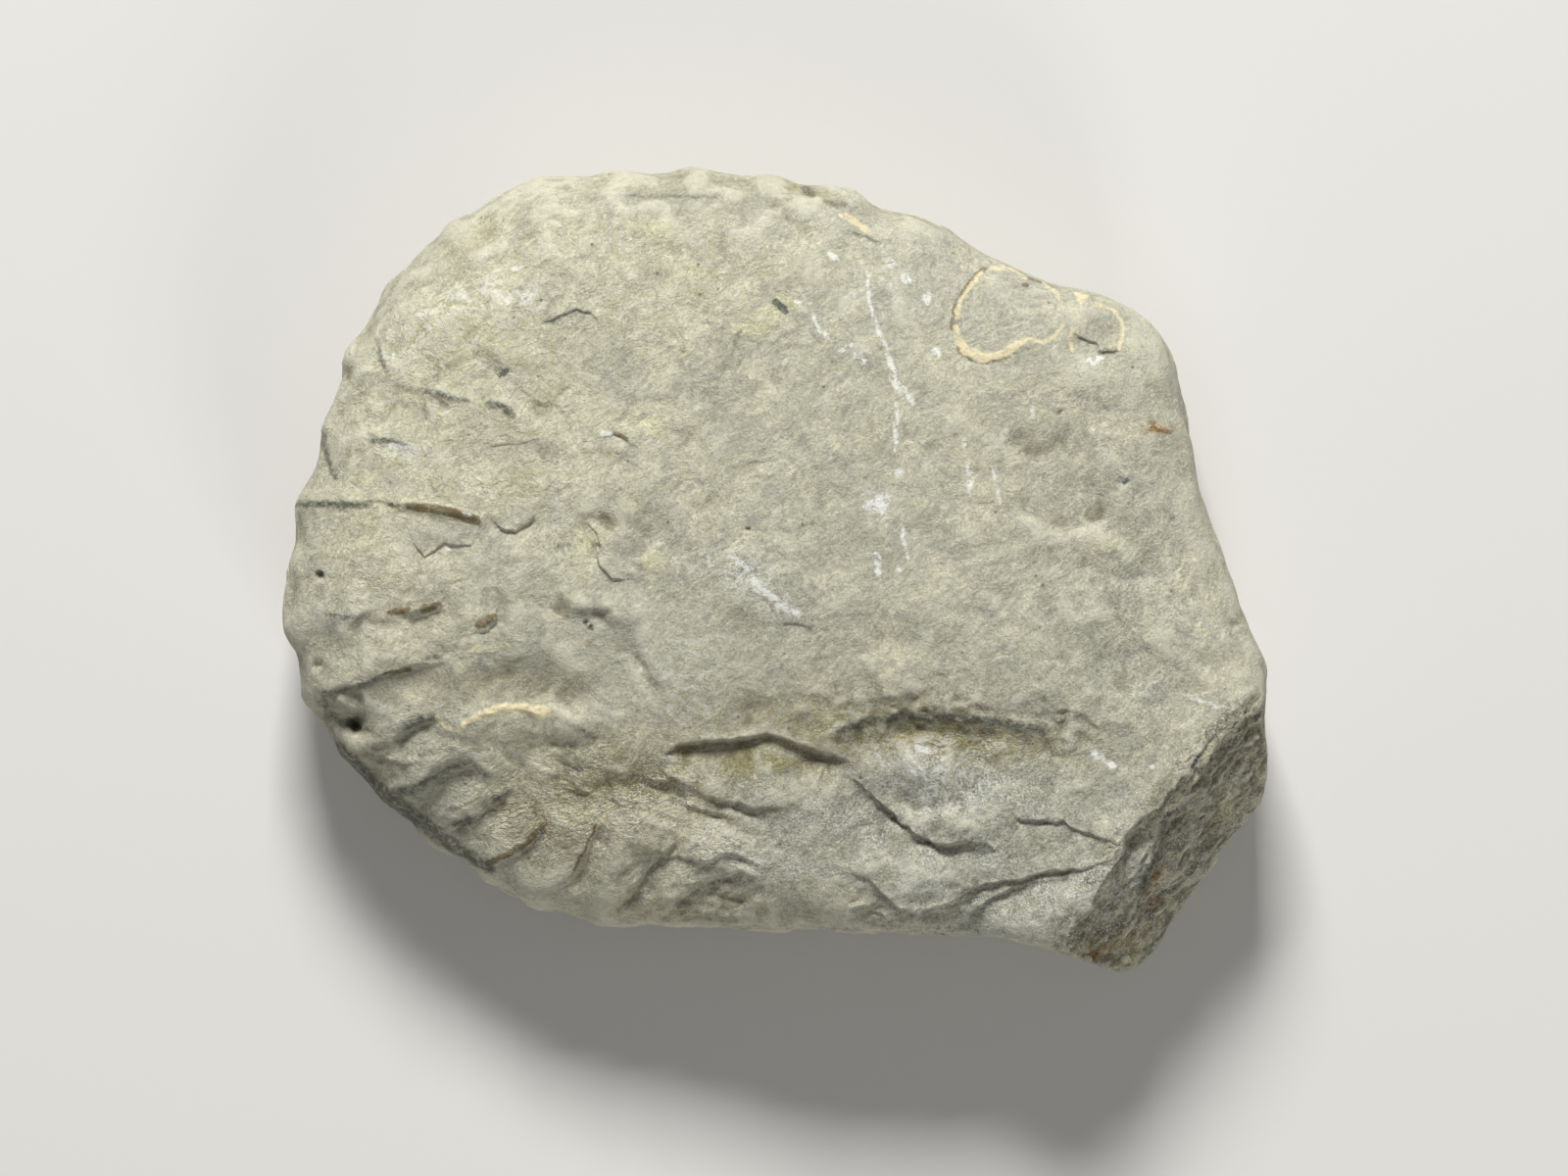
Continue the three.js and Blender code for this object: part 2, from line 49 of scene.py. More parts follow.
# The whole form, in millimetres. The stone lies on its back: +X is its length, +Y the
# rounded outer edge of the coil, +Z out of the ribbed flank.
form = {
    "girdleHeight": 25.0,        # the widest line all round
    "flankHeight": 54.0,
    "flankDome": 3.5,            # how much lower the flank is at its margin
    "bellyDepth": 27.4,
    "coilCentre": (-20.0, 6.0),  # where the ribs point to
    "ribHeight": 0.9,
    "ribWidth": 3.6,
    "ribInnerEnd": 48.0,
    "ribFullHeight": 78.0,
    "lumps": ((18.0, 0.8), (7.0, 0.45)),  # size and height of the worn surface's lumps
    # lumps worn on a broken face: length, width, height
    "faceWear": ((14.0, 6.0, 1.0), (5.0, 2.4, 1.2), (2.2, 1.3, 0.9), (1.1, 0.8, 0.35)),
    # shares of the way up from the widest line where the drawn relief starts and is full
    "reliefStart": 0.12,
    "reliefFull": 0.6,
    # how broken lines wander: size of the wander, and how far along X and Y
    "wander": ((7.0, 0.5, 0.45), (1.8, 0.36, 0.4)),
    "outline": (
        (104.2, -21), (101.5, -14), (97.4, -2), (94.2, 7), (90.8, 17), (89.4, 25), (87.6, 36),
        (85.2, 45.5), (81, 51.3), (71, 57.4), (58, 60.6), (46, 66.4), (35, 73.6), (24, 75.9),
        (16, 79.6), (2, 82.2), (-13, 84.2), (-32, 83.6), (-50, 82.4), (-62, 77.2), (-72.5, 68.8),
        (-81.4, 59.8), (-89, 48), (-92, 39), (-95.4, 28), (-98, 20), (-101, 12.5), (-102.6, 2),
        (-104, -7), (-101.6, -18), (-99.6, -27), (-94, -36), (-89, -42.8), (-80, -52.4),
        (-64, -63.9), (-52, -71.2), (-35, -75.6), (-12, -76.9), (16, -77.2), (42, -78.4),
        (62, -82), (75, -86.4), (86, -75), (95, -62), (104.2, -48.4), (104, -33),
    ),
    # bearing, then how square the edge is on the flank side and on the belly side
    "edgeSquareness": (
        (0, 5, 3.6), (40, 4.4, 3.2), (80, 3.7, 2.8), (125, 3.5, 2.7), (180, 3.6, 2.7),
        (215, 2.5, 2.7), (250, 2.7, 3), (270, 4.4, 3.4), (287, 8.5, 3.8), (304, 10, 5),
        (322, 9, 6), (345, 7, 5),
    ),
    "ribBearings": (
        63, 75, 87, 99, 112, 126, 139, 151, 163, 174, 183.5, 193.5, 203.5, 213, 222.5, 231,
        239.5, 249, 259,
    ),
    # bearing of the face, its distance at a height, and how far it comes out going down
    "brokenFaces": ((-38, 96.4, 50, 0.7),),
    # on a broken face: place along it and height, half-lengths, how far it stands out
    "faceLumps": (
        ((9, 46), (8, 8), -1.6), ((0, 42), (6, 5), 1.8), ((-6, 33), (5, 7), -2.4),
        ((21, 36), (14, 10), 1.2), ((-18, 28), (8, 8), 1.6),
    ),
}

# Edges of broken layers: drop on the right of the line, width of the step's face, how far
# away the ground has risen again, then the line's points
flankLedges = (
    (2.8, 0.8, 10, (-24, -40.2), (-20.8, -37.7), (-16.7, -36.4), (-6.4, -35.3), (-1.4, -34.5), (5.5, -36.8),
     (12, -39.2), (18, -41)),
    (1.8, 9, 50, (4, -36), (12, -31.5), (20, -28), (30, -26.6), (42, -27.4), (54, -29), (66, -31),
     (76, -35)),
    (2.8, 4, 46, (8, -34.8), (14, -33.2), (20, -31.4), (28.7, -30.2), (36, -30.4), (42, -31.6), (48, -33),
     (57, -34.8), (67, -38)),
    (1.1, 2.4, 9, (-14, -28), (-4, -26.6), (6, -25.8), (14, -27.6), (24, -27.4), (38, -27)),
    (2.5, 0.5, 14, (14, -42), (21.8, -48.7), (29.1, -55.3), (33.4, -57.6), (37.6, -58.5), (41, -57.6),
     (44, -57.8), (49, -60)),
    (1.6, 0.5, 8, (50, -52.4), (53.3, -53), (57, -53), (61, -53.4), (66, -56), (76, -59)),
    (2.1, 0.5, 10, (12, -64), (19.9, -65.2), (23.2, -68.5), (26.5, -71.8), (31, -73), (36.5, -70.8),
     (42, -67.5), (46.4, -66.4), (53, -65.3), (59.6, -63.6), (66.3, -63.1), (73, -61)),
    (1.8, 0.5, 7, (17, -71), (22.5, -72.6), (25.4, -75.2), (29.8, -76.3), (36.5, -75.8), (39.8, -74.1),
     (44.2, -70.8), (47.5, -68.6), (53, -66.6), (63, -64.4)),
    (4, 1.4, 16, (69, -78), (71.7, -68), (72.3, -62), (74, -56.4), (79, -50.6)),
    (3, 8, 26, (-66, -37), (-50, -33.4), (-38, -34.6), (-28, -38), (-20, -39.6)),
    (1.3, 8, 14, (-82, -23), (-67, -19), (-57, -17.6), (-45, -17.6), (-32, -20)),
    (1.7, 3, 9, (-36, -5), (-31.4, -12.2), (-26, -21), (-20, -30)),
    (0.8, 1.2, 8, (-103, 14.6), (-90, 14), (-77.6, 13.9), (-70, 13.4), (-61, 10.4)),
    (0.5, 1.2, 7, (-92, -11), (-81.4, -9.8), (-68, -7.2)),
    (1.4, 0.9, 10, (-98, -26.6), (-95, -26.6), (-85.2, -24), (-81.6, -22.2), (-76.4, -21), (-66, -18.6)),
    (0.6, 1.4, 7, (-80, 39.4), (-74.1, 37.3), (-64.2, 34.5)),
    (0.6, 1, 5, (-62, 35), (-60.4, 34.7), (-57, 34), (-54, 31)),
    (0.6, 1.4, 6, (-90, 27), (-81, 26.9), (-74, 25.2)),
    (1.5, 1.2, 7, (-81, -36), (-78.5, -34.3), (-75.4, -32.5), (-69, -31)),
    (1.8, 1.2, 8, (-84, -49), (-76.4, -47.2), (-73.4, -45.2), (-68.2, -42.6), (-60, -40)),
    (1.8, 1.2, 8, (-71, -57), (-67.2, -54.6), (-63, -52.9), (-59.4, -49.3), (-53, -44)),
    (1.9, 1.2, 8, (-64, -64.5), (-57.9, -61.9), (-54.8, -60.3), (-51.7, -58), (-47, -52.4)),
    (1.8, 1.8, 9, (-52, -70), (-44, -65.4), (-40.9, -61), (-36.4, -52)),
    (2.7, 1.4, 7, (-38, -74), (-31, -68.5), (-26.5, -63), (-20, -56)),
    (2.6, 1.4, 7, (-27, -76), (-20, -69.4), (-15, -66), (-4, -62)),
    (2, 1.6, 8, (-30, -44), (-20, -44.6), (-14, -48), (-4, -50), (8, -50)),
    (0.6, 1.6, 6, (-37, 27), (-34.6, 32), (-31, 35.6), (-25, 36.4), (-17, 35.6)),
)
flankFolds = (  # rise along the line, spread, then the line's points
    (1.7, 3.6, (-70, -36), (-60, -31.6), (-47, -30.4), (-38, -31), (-26, -35)),
    (-0.8, 4.5, (-92, -31), (-70, -27), (-48, -25), (-26, -27)),
    (-1.4, 7, (48, 36), (60, 24), (68, 12), (73, -4), (73, -20), (70, -36)),
    (1.2, 5, (74, 32), (84, 21), (90, 8), (93, -6)),
    (2.2, 7, (104, -20), (96, -32), (88, -43), (77, -56), (70, -67), (64, -80)),
    (0.8, 3, (62, 10), (70, 5), (79, 0)), (0.8, 4, (-46, 24), (-43, 8), (-45, -6)),
    (1.4, 1.6, (-93, -27.6), (-86.6, -31.4)),
)
flankLumps = (  # place, half-lengths, turn, rise
    ((-60, 55), (22, 14), 45, 1.1), ((-2, 30), (30, 16), 10, -0.9), ((15, -8), (26, 12), 0, 0.9),
    ((-88.4, -33.2), (2.8, 2), -20, -2.6), ((1.8, 54.6), (2.6, 2.2), -30, -1.3),
    ((69.5, 48.5), (5, 3.6), 10, -1.5), ((32, -66), (8, 5), 10, 1.2), ((38, -46), (14, 8), -25, 1.5),
    ((34, -64), (10, 4), 5, 0.9), ((58, -71), (12, 6), 15, 1.2), ((-30, -58), (7, 4), 45, 1.3),
    ((-74, -3), (9, 5), 10, 0.7), ((-25, 30.5), (7.5, 5.5), 5, 0.6), ((-53.6, 12), (3.6, 3), 0, 0.5),
)
bellyLedges = (
    (2.4, 1.6, 14, (-88, 30), (-70, 44), (-52, 50), (-30, 62)),
    (2.6, 1.8, 12, (60, 30), (72, 8), (74, -18), (66, -40)),
    (2.2, 1.6, 12, (-60, -52), (-34, -58), (-8, -55), (16, -62)),
)
bellyLumps = (
    ((-78, -12), (16, 10), 60, 1.6), ((24, 64), (18, 9), -15, 1.8), ((52, -60), (14, 9), 30, -1.8),
    ((84, 26), (10, 16), 0, -1.6),
)

# Where the flank is worn smooth: place, half-lengths, turn, share of the lumps worn away
calmAreas = (
    ((30, 4), (55, 34), 0, 0.65), ((-10, 62), (45, 16), 0, 0.3),
)

# Where the flank is broken up and the mesh is finest
brokenAreas = (
    ((-40, -54), (44, 22), -10, 1), ((40, -54), (44, 30), 0, 1), ((-76, -30), (26, 30), -45, 0.8),
    ((-78, 25), (22, 34), 0, 0.45),
)

# Where the flank is chipped into more marked facets than elsewhere
chippedAreas = (
    ((42, -52), (36, 22), 0, 0.7),
)

# Small relief that only the fine mesh can hold, given in the same way
smallLedges = (
    (0.31, 0.77, 3.9, (-97, 2.6), (-88, 2.2), (-79, 2.4)),
    (1, 0.45, 3.3, (-57.2, 8.4), (-56.4, 7.8), (-54.3, 7.9), (-51.8, 9.2), (-51.2, 10.2)),
    (0.7, 0.45, 4.2, (-75.6, 5), (-75, 4.2), (-73.2, 2.4), (-69.4, 5.2), (-67.4, 4.4), (-64.2, 4.3),
     (-63.4, 6)),
    (0.8, 0.45, 3.4, (-36.8, 2.4), (-36, 0.6), (-34.6, -0.4), (-33.4, -2), (-31, -2.5)),
    (0.45, 0.45, 4, (-22.6, -1.4), (-21.4, 2), (-23.4, 4.6), (-25.2, 4.2), (-27.6, 2), (-30, -1.2)),
    (0.7, 0.5, 3.6, (-38.6, 9.6), (-36.6, 7.4), (-36, 4), (-36.6, 1)),
    (0.5, 0.45, 3, (-74, -1), (-74.4, -3), (-75.2, -5), (-77, -7.4)),
    (0.7, 0.45, 2.6, (-62.4, -13.4), (-60, -13), (-58.4, -10.6), (-58.6, -9.2)),
    (0.6, 0.45, 2.6, (-77, -10.2), (-73, -10), (-69.6, -8.4), (-69.8, -7.2)),
    (0.42, 0.4, 6, (-49, 51.2), (-47.7, 51.7), (-44, 53), (-41.2, 54), (-38.4, 53.6), (-36.4, 51.5),
     (-36.2, 49)),
    (0.35, 0.4, 3, (15, 71.6), (17.3, 70.5), (20, 69.7), (23.4, 68.4)),
    (0.45, 0.55, 3.6, (2, -11.4), (5.4, -11.4), (8.8, -12.6)),
    (0.74, 0.88, 6.8, (60, -29.4), (66, -30.8), (69.8, -34.4)),
    (0.5, 0.5, 3.9, (-60, 25.4), (-57, 26), (-52, 26.4), (-46, 27.4)),
    (0.5, 0.5, 3.5, (-35.6, 27.6), (-33.4, 28.4), (-31.4, 27.4), (-29.6, 26)),
    (0.37, 0.66, 3.9, (-84, 46.6), (-82.6, 43), (-80.6, 40.6)),
    (0.3, 0.66, 3.9, (-58.4, 40), (-56, 42.4), (-52, 42.6)),
    (0.93, 0.55, 3.6, (63, 50), (68, 47.4), (70, 45.2), (73.4, 45.8)),
    (0.31, 0.55, 3, (5, 8.2), (7.4, 9.2), (10, 8.8)), (0.5, 0.88, 6, (-50, 36), (-45, 34), (-41.6, 31)),
    (0.43, 0.66, 4.5, (-6, 22), (-2.6, 22.4), (0.8, 24.2)),
    (0.5, 0.66, 3.3, (-96.4, 29), (-94, 23), (-91.6, 18)),
    (1.12, 0.77, 4.5, (19, -72), (22, -74.4), (30, -76.6), (36, -76.6), (38, -73.4)),
    (0.87, 0.88, 6, (-22, -47), (-16, -51), (-6, -53)),
    (0.87, 0.88, 6, (-31, -63), (-24, -60.4), (-14, -61.4), (-7, -59)),
    (0.93, 0.88, 5.1, (-20, -66), (-12, -68.6), (-4, -70)),
    (0.93, 0.88, 4.5, (-24, -72.6), (-16, -73), (-8, -74)),
    (0.56, 1.1, 6.8, (-48, -45), (-40, -47), (-30, -50)),
    (1, 0.6, 2.2, (-95.6, -25.6), (-94.6, -28.6), (-94.2, -31), (-92, -33.4)),
    (1.6, 0.6, 2.6, (-95.4, -28.8), (-90.6, -31.2), (-88.4, -33), (-86, -33.6)),
    (0.6, 0.5, 3, (-99, -33.6), (-96.5, -33.4), (-93, -32.8)),
    (0.5, 0.88, 5.2, (-84, -39), (-78, -41.4), (-74, -40)),
    (0.62, 0.77, 4.5, (-70, -51), (-66, -50.4), (-61, -48)),
    (0.74, 0.66, 3, (-68, -55.4), (-65, -54.4), (-62, -53.2)),
    (0.43, 0.77, 4.5, (12, 77.6), (18, 75.6), (23, 73.4)),
    (0.31, 0.66, 3.6, (38, 14.6), (43, 13.8), (47.6, 14.4)),
    (0.37, 0.66, 3.9, (30, 27.6), (32.6, 25.4), (34.4, 27)),
    (0.31, 1.32, 6, (56, -5), (52, -7.6), (47, -8)),
)
smallFolds = (
    (-0.7, 1.4, (-32.4, -10), (-30, -16), (-26, -23), (-22, -29)),
    (1, 1.1, (-61, 9.2), (-62.3, 9.9), (-65.1, 10.9), (-69.4, 11.8), (-76.9, 13), (-80, 13)),
    (0.6, 1, (-78, -9.8), (-74, -8.8), (-69, -8)), (0.5, 0.9, (-62.8, -12.6), (-60.6, -11.4), (-58, -10)),
    (0.3, 0.6, (-44.6, 24), (-44.2, 12), (-43.6, 0)),
    (0.5, 0.8, (27, 66), (28.7, 66.7), (33.6, 66.9), (37.6, 65.3), (41.3, 62.8), (42.4, 61)),
    (0.35, 0.9, (44.9, 62.4), (40.9, 57.6), (38.9, 51.4), (41.4, 45.2), (46.8, 43.8), (51.1, 46.4),
     (57, 47.4), (59.9, 49.6)),
    (0.3, 0.9, (46, 62.8), (51.8, 62.6), (57, 60.4), (60.6, 57.6)),
    (0.7, 0.9, (-67, -34.8), (-64.6, -32.8), (-61.5, -31.1), (-57.9, -30), (-54.8, -29.7), (-50.7, -30.2),
     (-46, -30.8)),
    (-0.4, 1.3, (-49, 22), (-47.6, 12), (-48.4, 0)), (-0.3, 1, (-44, 22), (-43, 12), (-44, 2)),
)
smallPits = (  # place, radius, depth
    ((-95.9, -1.8), 1, 1.4), ((-39.3, -11.6), 0.6, 0.9), ((-38.2, -12.6), 0.6, 0.9),
    ((-5.1, 7.8), 0.6, 0.7), ((-54, 65.6), 0.5, 0.6), ((60.5, 32.2), 0.6, 0.6), ((70.7, 32.8), 0.6, 0.5),
    ((74.3, 18), 0.7, 0.6), ((38.8, -28), 0.8, 0.9), ((57, -28.2), 0.6, 0.6), ((-19, 45), 0.6, 0.6),
    ((-88.2, -33.4), 1.3, 1.8), ((-66.8, -54.8), 1.1, 1.2), ((-64.6, -53.8), 0.8, 1),
    ((54.2, 59.4), 0.7, 0.7), ((34.4, 64), 0.9, 0.6), ((8, 79.2), 1, 0.9), ((-59, -51.8), 0.4, 0.5),
    ((-96, -21), 1.1, 1), ((98, -12.4), 1, 0.9),
)
# How the surface is broken up in different places: how wide the patch is, the grain's
# bearing, length, width and height, then the points of the line that the patch follows
roughPatches = (
    (9, -35, 7, 1.8, 0.4, (-58, -44), (-46, -52), (-38, -60)),
    (8, -24, 7, 1.6, 0.7, (-46, -38), (-32, -43), (-22, -48)),
    (8, -22, 9, 2, 0.8, (-22, -50), (-12, -56), (-4, -60)), (9, 30, 9, 2.4, 1, (-26, -68), (-8, -68)),
    (12, 12, 9, 1.8, 0.5, (24, -60), (44, -63), (62, -62)), (6, 20, 7, 2, 1, (20, -72), (36, -74)),
    (7, 33, 9, 2.2, 0.5, (-88, -38), (-76, -47), (-64, -55)),
    (5, 5, 3.6, 1.5, 1.1, (14, -34), (25, -31), (40, -31), (62, -35)),
    (4, 8, 4, 1.2, 0.3, (-60, -34), (-40, -36), (-28, -40)),
    (13, 60, 6, 3.2, 0.85, (-86, 28), (-70, 50), (-46, 68)),
    (6, 10, 7, 3, 0.45, (-40, 74), (-10, 76), (14, 76)),
    (8, 12, 6, 2.6, 0.45, (-88, -4), (-70, -14), (-62, -20)), (12, 20, 3.6, 2, 0.45, (36, -55), (60, -58)),
)


def smoothStep(low, high, value):
    t = np.clip((value - low) / (high - low), 0, 1)
    return t * t * (3 - 2 * t)


# A smooth closed curve through the stops, read at each bearing
def readRing(stops, column, bearings):
    stops = sorted(stops)
    angles = np.array([stop[0] for stop in stops], float)
    values = np.array([stop[column] for stop in stops], float)
    angles = np.concatenate((angles[-2:] - 360, angles, angles[:3] + 360))
    values = np.concatenate((values[-2:], values, values[:3]))
    slopes = np.zeros_like(values)
    slopes[1:-1] = (values[2:] - values[:-2]) / (angles[2:] - angles[:-2])
    at = np.mod(bearings - angles[2], 360) + angles[2]
    i = np.searchsorted(angles, at, side="right") - 1
    span = angles[i + 1] - angles[i]
    t = (at - angles[i]) / span
    bend = span * t * (1 - t) * ((1 - t) * slopes[i] - t * slopes[i + 1])
    return values[i] + (values[i + 1] - values[i]) * t * t * (3 - 2 * t) + bend


# A steady random value from 0 to 1 at each corner of a cubic lattice
def cornerValues(i, j, k):
    i, j, k = (part.astype(np.int64).astype(np.uint32) for part in (i, j, k))
    mix = i * np.uint32(374761393) + j * np.uint32(668265263) + k * np.uint32(1440662683)
    mix = (mix ^ (mix >> np.uint32(13))) * np.uint32(1274126177)
    return (mix ^ (mix >> np.uint32(16))).astype(float) / 4294967296


# Smooth noise from -1 to 1, with lumps about as wide as size
def noise(points, size, start=0.0):
    cell = points / size + start
    corner = np.floor(cell)
    u, v, w = smoothStep(0, 1, (cell - corner).T)
    i, j, k = corner.T
    total = 0
    for a, b, c in np.ndindex(2, 2, 2):
        share = (u if a else 1 - u) * (v if b else 1 - v) * (w if c else 1 - w)
        total = total + share * cornerValues(i + a, j + b, k + c)
    return 2 * total - 1


# How far each place is from a line of points, how far along it, and how far to its right
def besideLine(line, x, y):
    gap = np.full(x.shape, np.inf)
    side = np.zeros(x.shape)
    gaps, places = [], []
    for i, ((ax, ay), (bx, by)) in enumerate(zip(line, line[1:])):
        dx, dy = bx - ax, by - ay
        t = np.clip(((x - ax) * dx + (y - ay) * dy) / (dx * dx + dy * dy), 0, 1)
        distance = np.hypot(x - ax - t * dx, y - ay - t * dy)
        nearer = distance < gap
        gap[nearer] = distance[nearer]
        side[nearer] = np.sign((x - ax) * dy - (y - ay) * dx)[nearer]
        gaps.append(distance)
        places.append((i + t) / (len(line) - 1))
    # where two stretches are about as near, the place along is shared between them
    shares = np.exp((gap - np.array(gaps)) / 1.5)
    along = (shares * np.array(places)).sum(0) / shares.sum(0)
    return gap, along, side * gap


# A line's relief dies away at both ends
def endTaper(along, share=0.22):
    return smoothStep(0, share, along) * smoothStep(1, 1 - share, along)


# Only the places that a line's relief can touch, to save time
def placesNear(line, x, y, reach):
    xs, ys = np.array(line, float).T
    return np.flatnonzero((x > xs.min() - reach) & (x < xs.max() + reach)
                          & (y > ys.min() - reach) & (y < ys.max() + reach))


# How uneven the ledges are: size of the changes, and how face and drop follow them
ledgeChanges = {"size": 7.0, "face": (1.1, 0.5), "drop": (0.85, 0.4)}


def ledgesHeight(ledges, x, y):
    height = np.zeros(x.shape)
    for drop, face, reach, *line in ledges:
        near = placesNear(line, x, y, 2.5 * reach)
        along, right = besideLine(line, x[near], y[near])[1:]
        place = np.stack((x[near], y[near], np.zeros(near.shape)), axis=1)
        uneven = noise(place, ledgeChanges["size"], 13.0)
        faceScale, dropScale = (plain + change * uneven
                                for plain, change in (ledgeChanges["face"], ledgeChanges["drop"]))
        step = smoothStep(0, face * faceScale, right) * np.exp(-(right / reach) ** 2)
        height[near] -= drop * dropScale * step * endTaper(along)
    return height


def foldsHeight(folds, x, y):
    height = np.zeros(x.shape)
    for rise, spread, *line in folds:
        near = placesNear(line, x, y, 2.5 * spread)
        gap, along = besideLine(line, x[near], y[near])[:2]
        height[near] += rise * np.exp(-(gap / spread) ** 2) * endTaper(along)
    return height


# Places measured along a bearing and across it
def turnedTo(bearing, x, y):
    cosine, sine = math.cos(bearing * radians), math.sin(bearing * radians)
    return x * cosine + y * sine, y * cosine - x * sine


# What soft oval blobs add up to: a height for lumps, a share or strength for areas
def blobsAt(blobs, x, y):
    value = np.zeros(x.shape)
    for (atX, atY), (length, width), turn, strength in blobs:
        along, across = turnedTo(turn, x - atX, y - atY)
        value += strength * np.exp(-(along / length) ** 2 - (across / width) ** 2)
    return value


def ribsHeight(x, y):
    dx, dy = x - form["coilCentre"][0], y - form["coilCentre"][1]
    distance = np.hypot(dx, dy)
    bearings = np.mod(np.arctan2(dy, dx) / radians, 360)
    height = 0
    for rib in form["ribBearings"]:
        height = height + np.exp(-((bearings - rib) * radians * distance / form["ribWidth"]) ** 2)
    return form["ribHeight"] * height * smoothStep(form["ribInnerEnd"], form["ribFullHeight"], distance)


# Points in the grain's own frame, so that noise comes out drawn along it
def turned(points, bearing, length, width):
    along, across = turnedTo(bearing, points[:, 0], points[:, 1])
    return np.stack((along / length, across / width, points[:, 2] / width), axis=1)


# The fine broken surface, in millimetres
fineSurface = {
    "noises": ((3.1, 0.09, 5.0), (1.5, 0.06, 11.0)),  # size, height, start of the random pattern
    "chips": ((9.0, 0.1, 0.0), (3.6, 0.08, 8.0)),     # size, slope, start of the random pattern
    "crispness": 9.0,    # how sharply the chips meet
    "push": 1.6,         # how far the chips are pushed about, and how broadly
    "pushSize": 5.0,
    "patchSize": 22.0,   # the chips come and go in patches
    "leastChips": 0.35,
    "ridges": 0.5,       # what the rough patches are made of
    "fineGrain": 0.32,
}


# Chipped facets: cells with a level and a tilt of their own, run together at their borders
def chips(points, size, slope, start):
    cell = points / size + start
    corner = np.floor(cell)
    total, shares = 0, 0
    for offset in np.ndindex(3, 3, 3):
        i, j, k = (corner + offset - 1).T
        drawn = [cornerValues(i + 57 * draw, j, k) for draw in range(7)]
        gap = cell - np.stack((i + drawn[0], j + drawn[1], k + drawn[2]), axis=1)
        share = np.exp(-fineSurface["crispness"] * (gap ** 2).sum(1))
        tilt = gap[:, 0] * (drawn[3] - 0.5) + gap[:, 1] * (drawn[4] - 0.5) + gap[:, 2] * (drawn[5] - 0.5)
        total = total + share * (2 * slope * tilt + slope * (drawn[6] - 0.5))
        shares = shares + share
    return size * total / shares


def roughHeight(points, x, y):
    look = fineSurface
    height = sum(rise * noise(points, size, start) for size, rise, start in look["noises"])
    pushes = [noise(points, look["pushSize"], start) for start in (40.0, 50.0, 60.0)]
    pushed = points + look["push"] * np.stack(pushes, axis=1)
    least = look["leastChips"]
    patchy = least + (1 - least) * smoothStep(-0.4, 0.4, noise(points, look["patchSize"], 4.0))
    patchy += blobsAt(chippedAreas, x, y)
    height += patchy * sum(chips(pushed, size, slope, start) for size, slope, start in look["chips"])
    for spread, bearing, length, width, rise, *line in roughPatches:
        gap = besideLine(line, x, y)[0]
        strength = np.exp(-(gap / spread) ** 2)
        grain = turned(points, bearing, length, width)
        ridged = 1 - 2 * np.abs(noise(grain, 1.0, 3.0))
        fine = noise(grain, 0.42, 6.0)
        height += rise * strength * (look["ridges"] * ridged + look["fineGrain"] * fine)
    return height


# Brings what stands past the broken faces back to them, straight towards the middle
def cutBack(points):
    middle = form["girdleHeight"]
    for bearing, distance, height, lean in form["brokenFaces"]:
        facing, across = turnedTo(bearing, points[:, 0], points[:, 1])
        level = points[:, 2] - middle
        limit = distance + lean * (height - middle)
        for (atAcross, atHeight), (length, width), rise in form["faceLumps"]:
            bulge = ((across - atAcross) / length) ** 2 + ((points[:, 2] - atHeight) / width) ** 2
            limit = limit + rise * np.exp(-bulge)
        for length, width, wear in form["faceWear"]:
            limit = limit + wear * noise(turned(points, bearing + 90, length, width), 1.0, 2.0)
        over = np.maximum(facing + lean * level, 1e-6)
        share = np.minimum(1, limit / over)
        points[:, 0] *= share
        points[:, 1] *= share
        points[:, 2] = middle + level * share
    return points


# How far each point lies on a broken face: 1 on it, 0 away from it
def brokenShare(points):
    share = np.zeros(len(points))
    for bearing, distance, height, lean in form["brokenFaces"]:
        facing = turnedTo(bearing, points[:, 0], points[:, 1])[0]
        past = facing + lean * (points[:, 2] - height) - distance
        share = np.maximum(share, smoothStep(-4.5, -1.5, past))
    return share


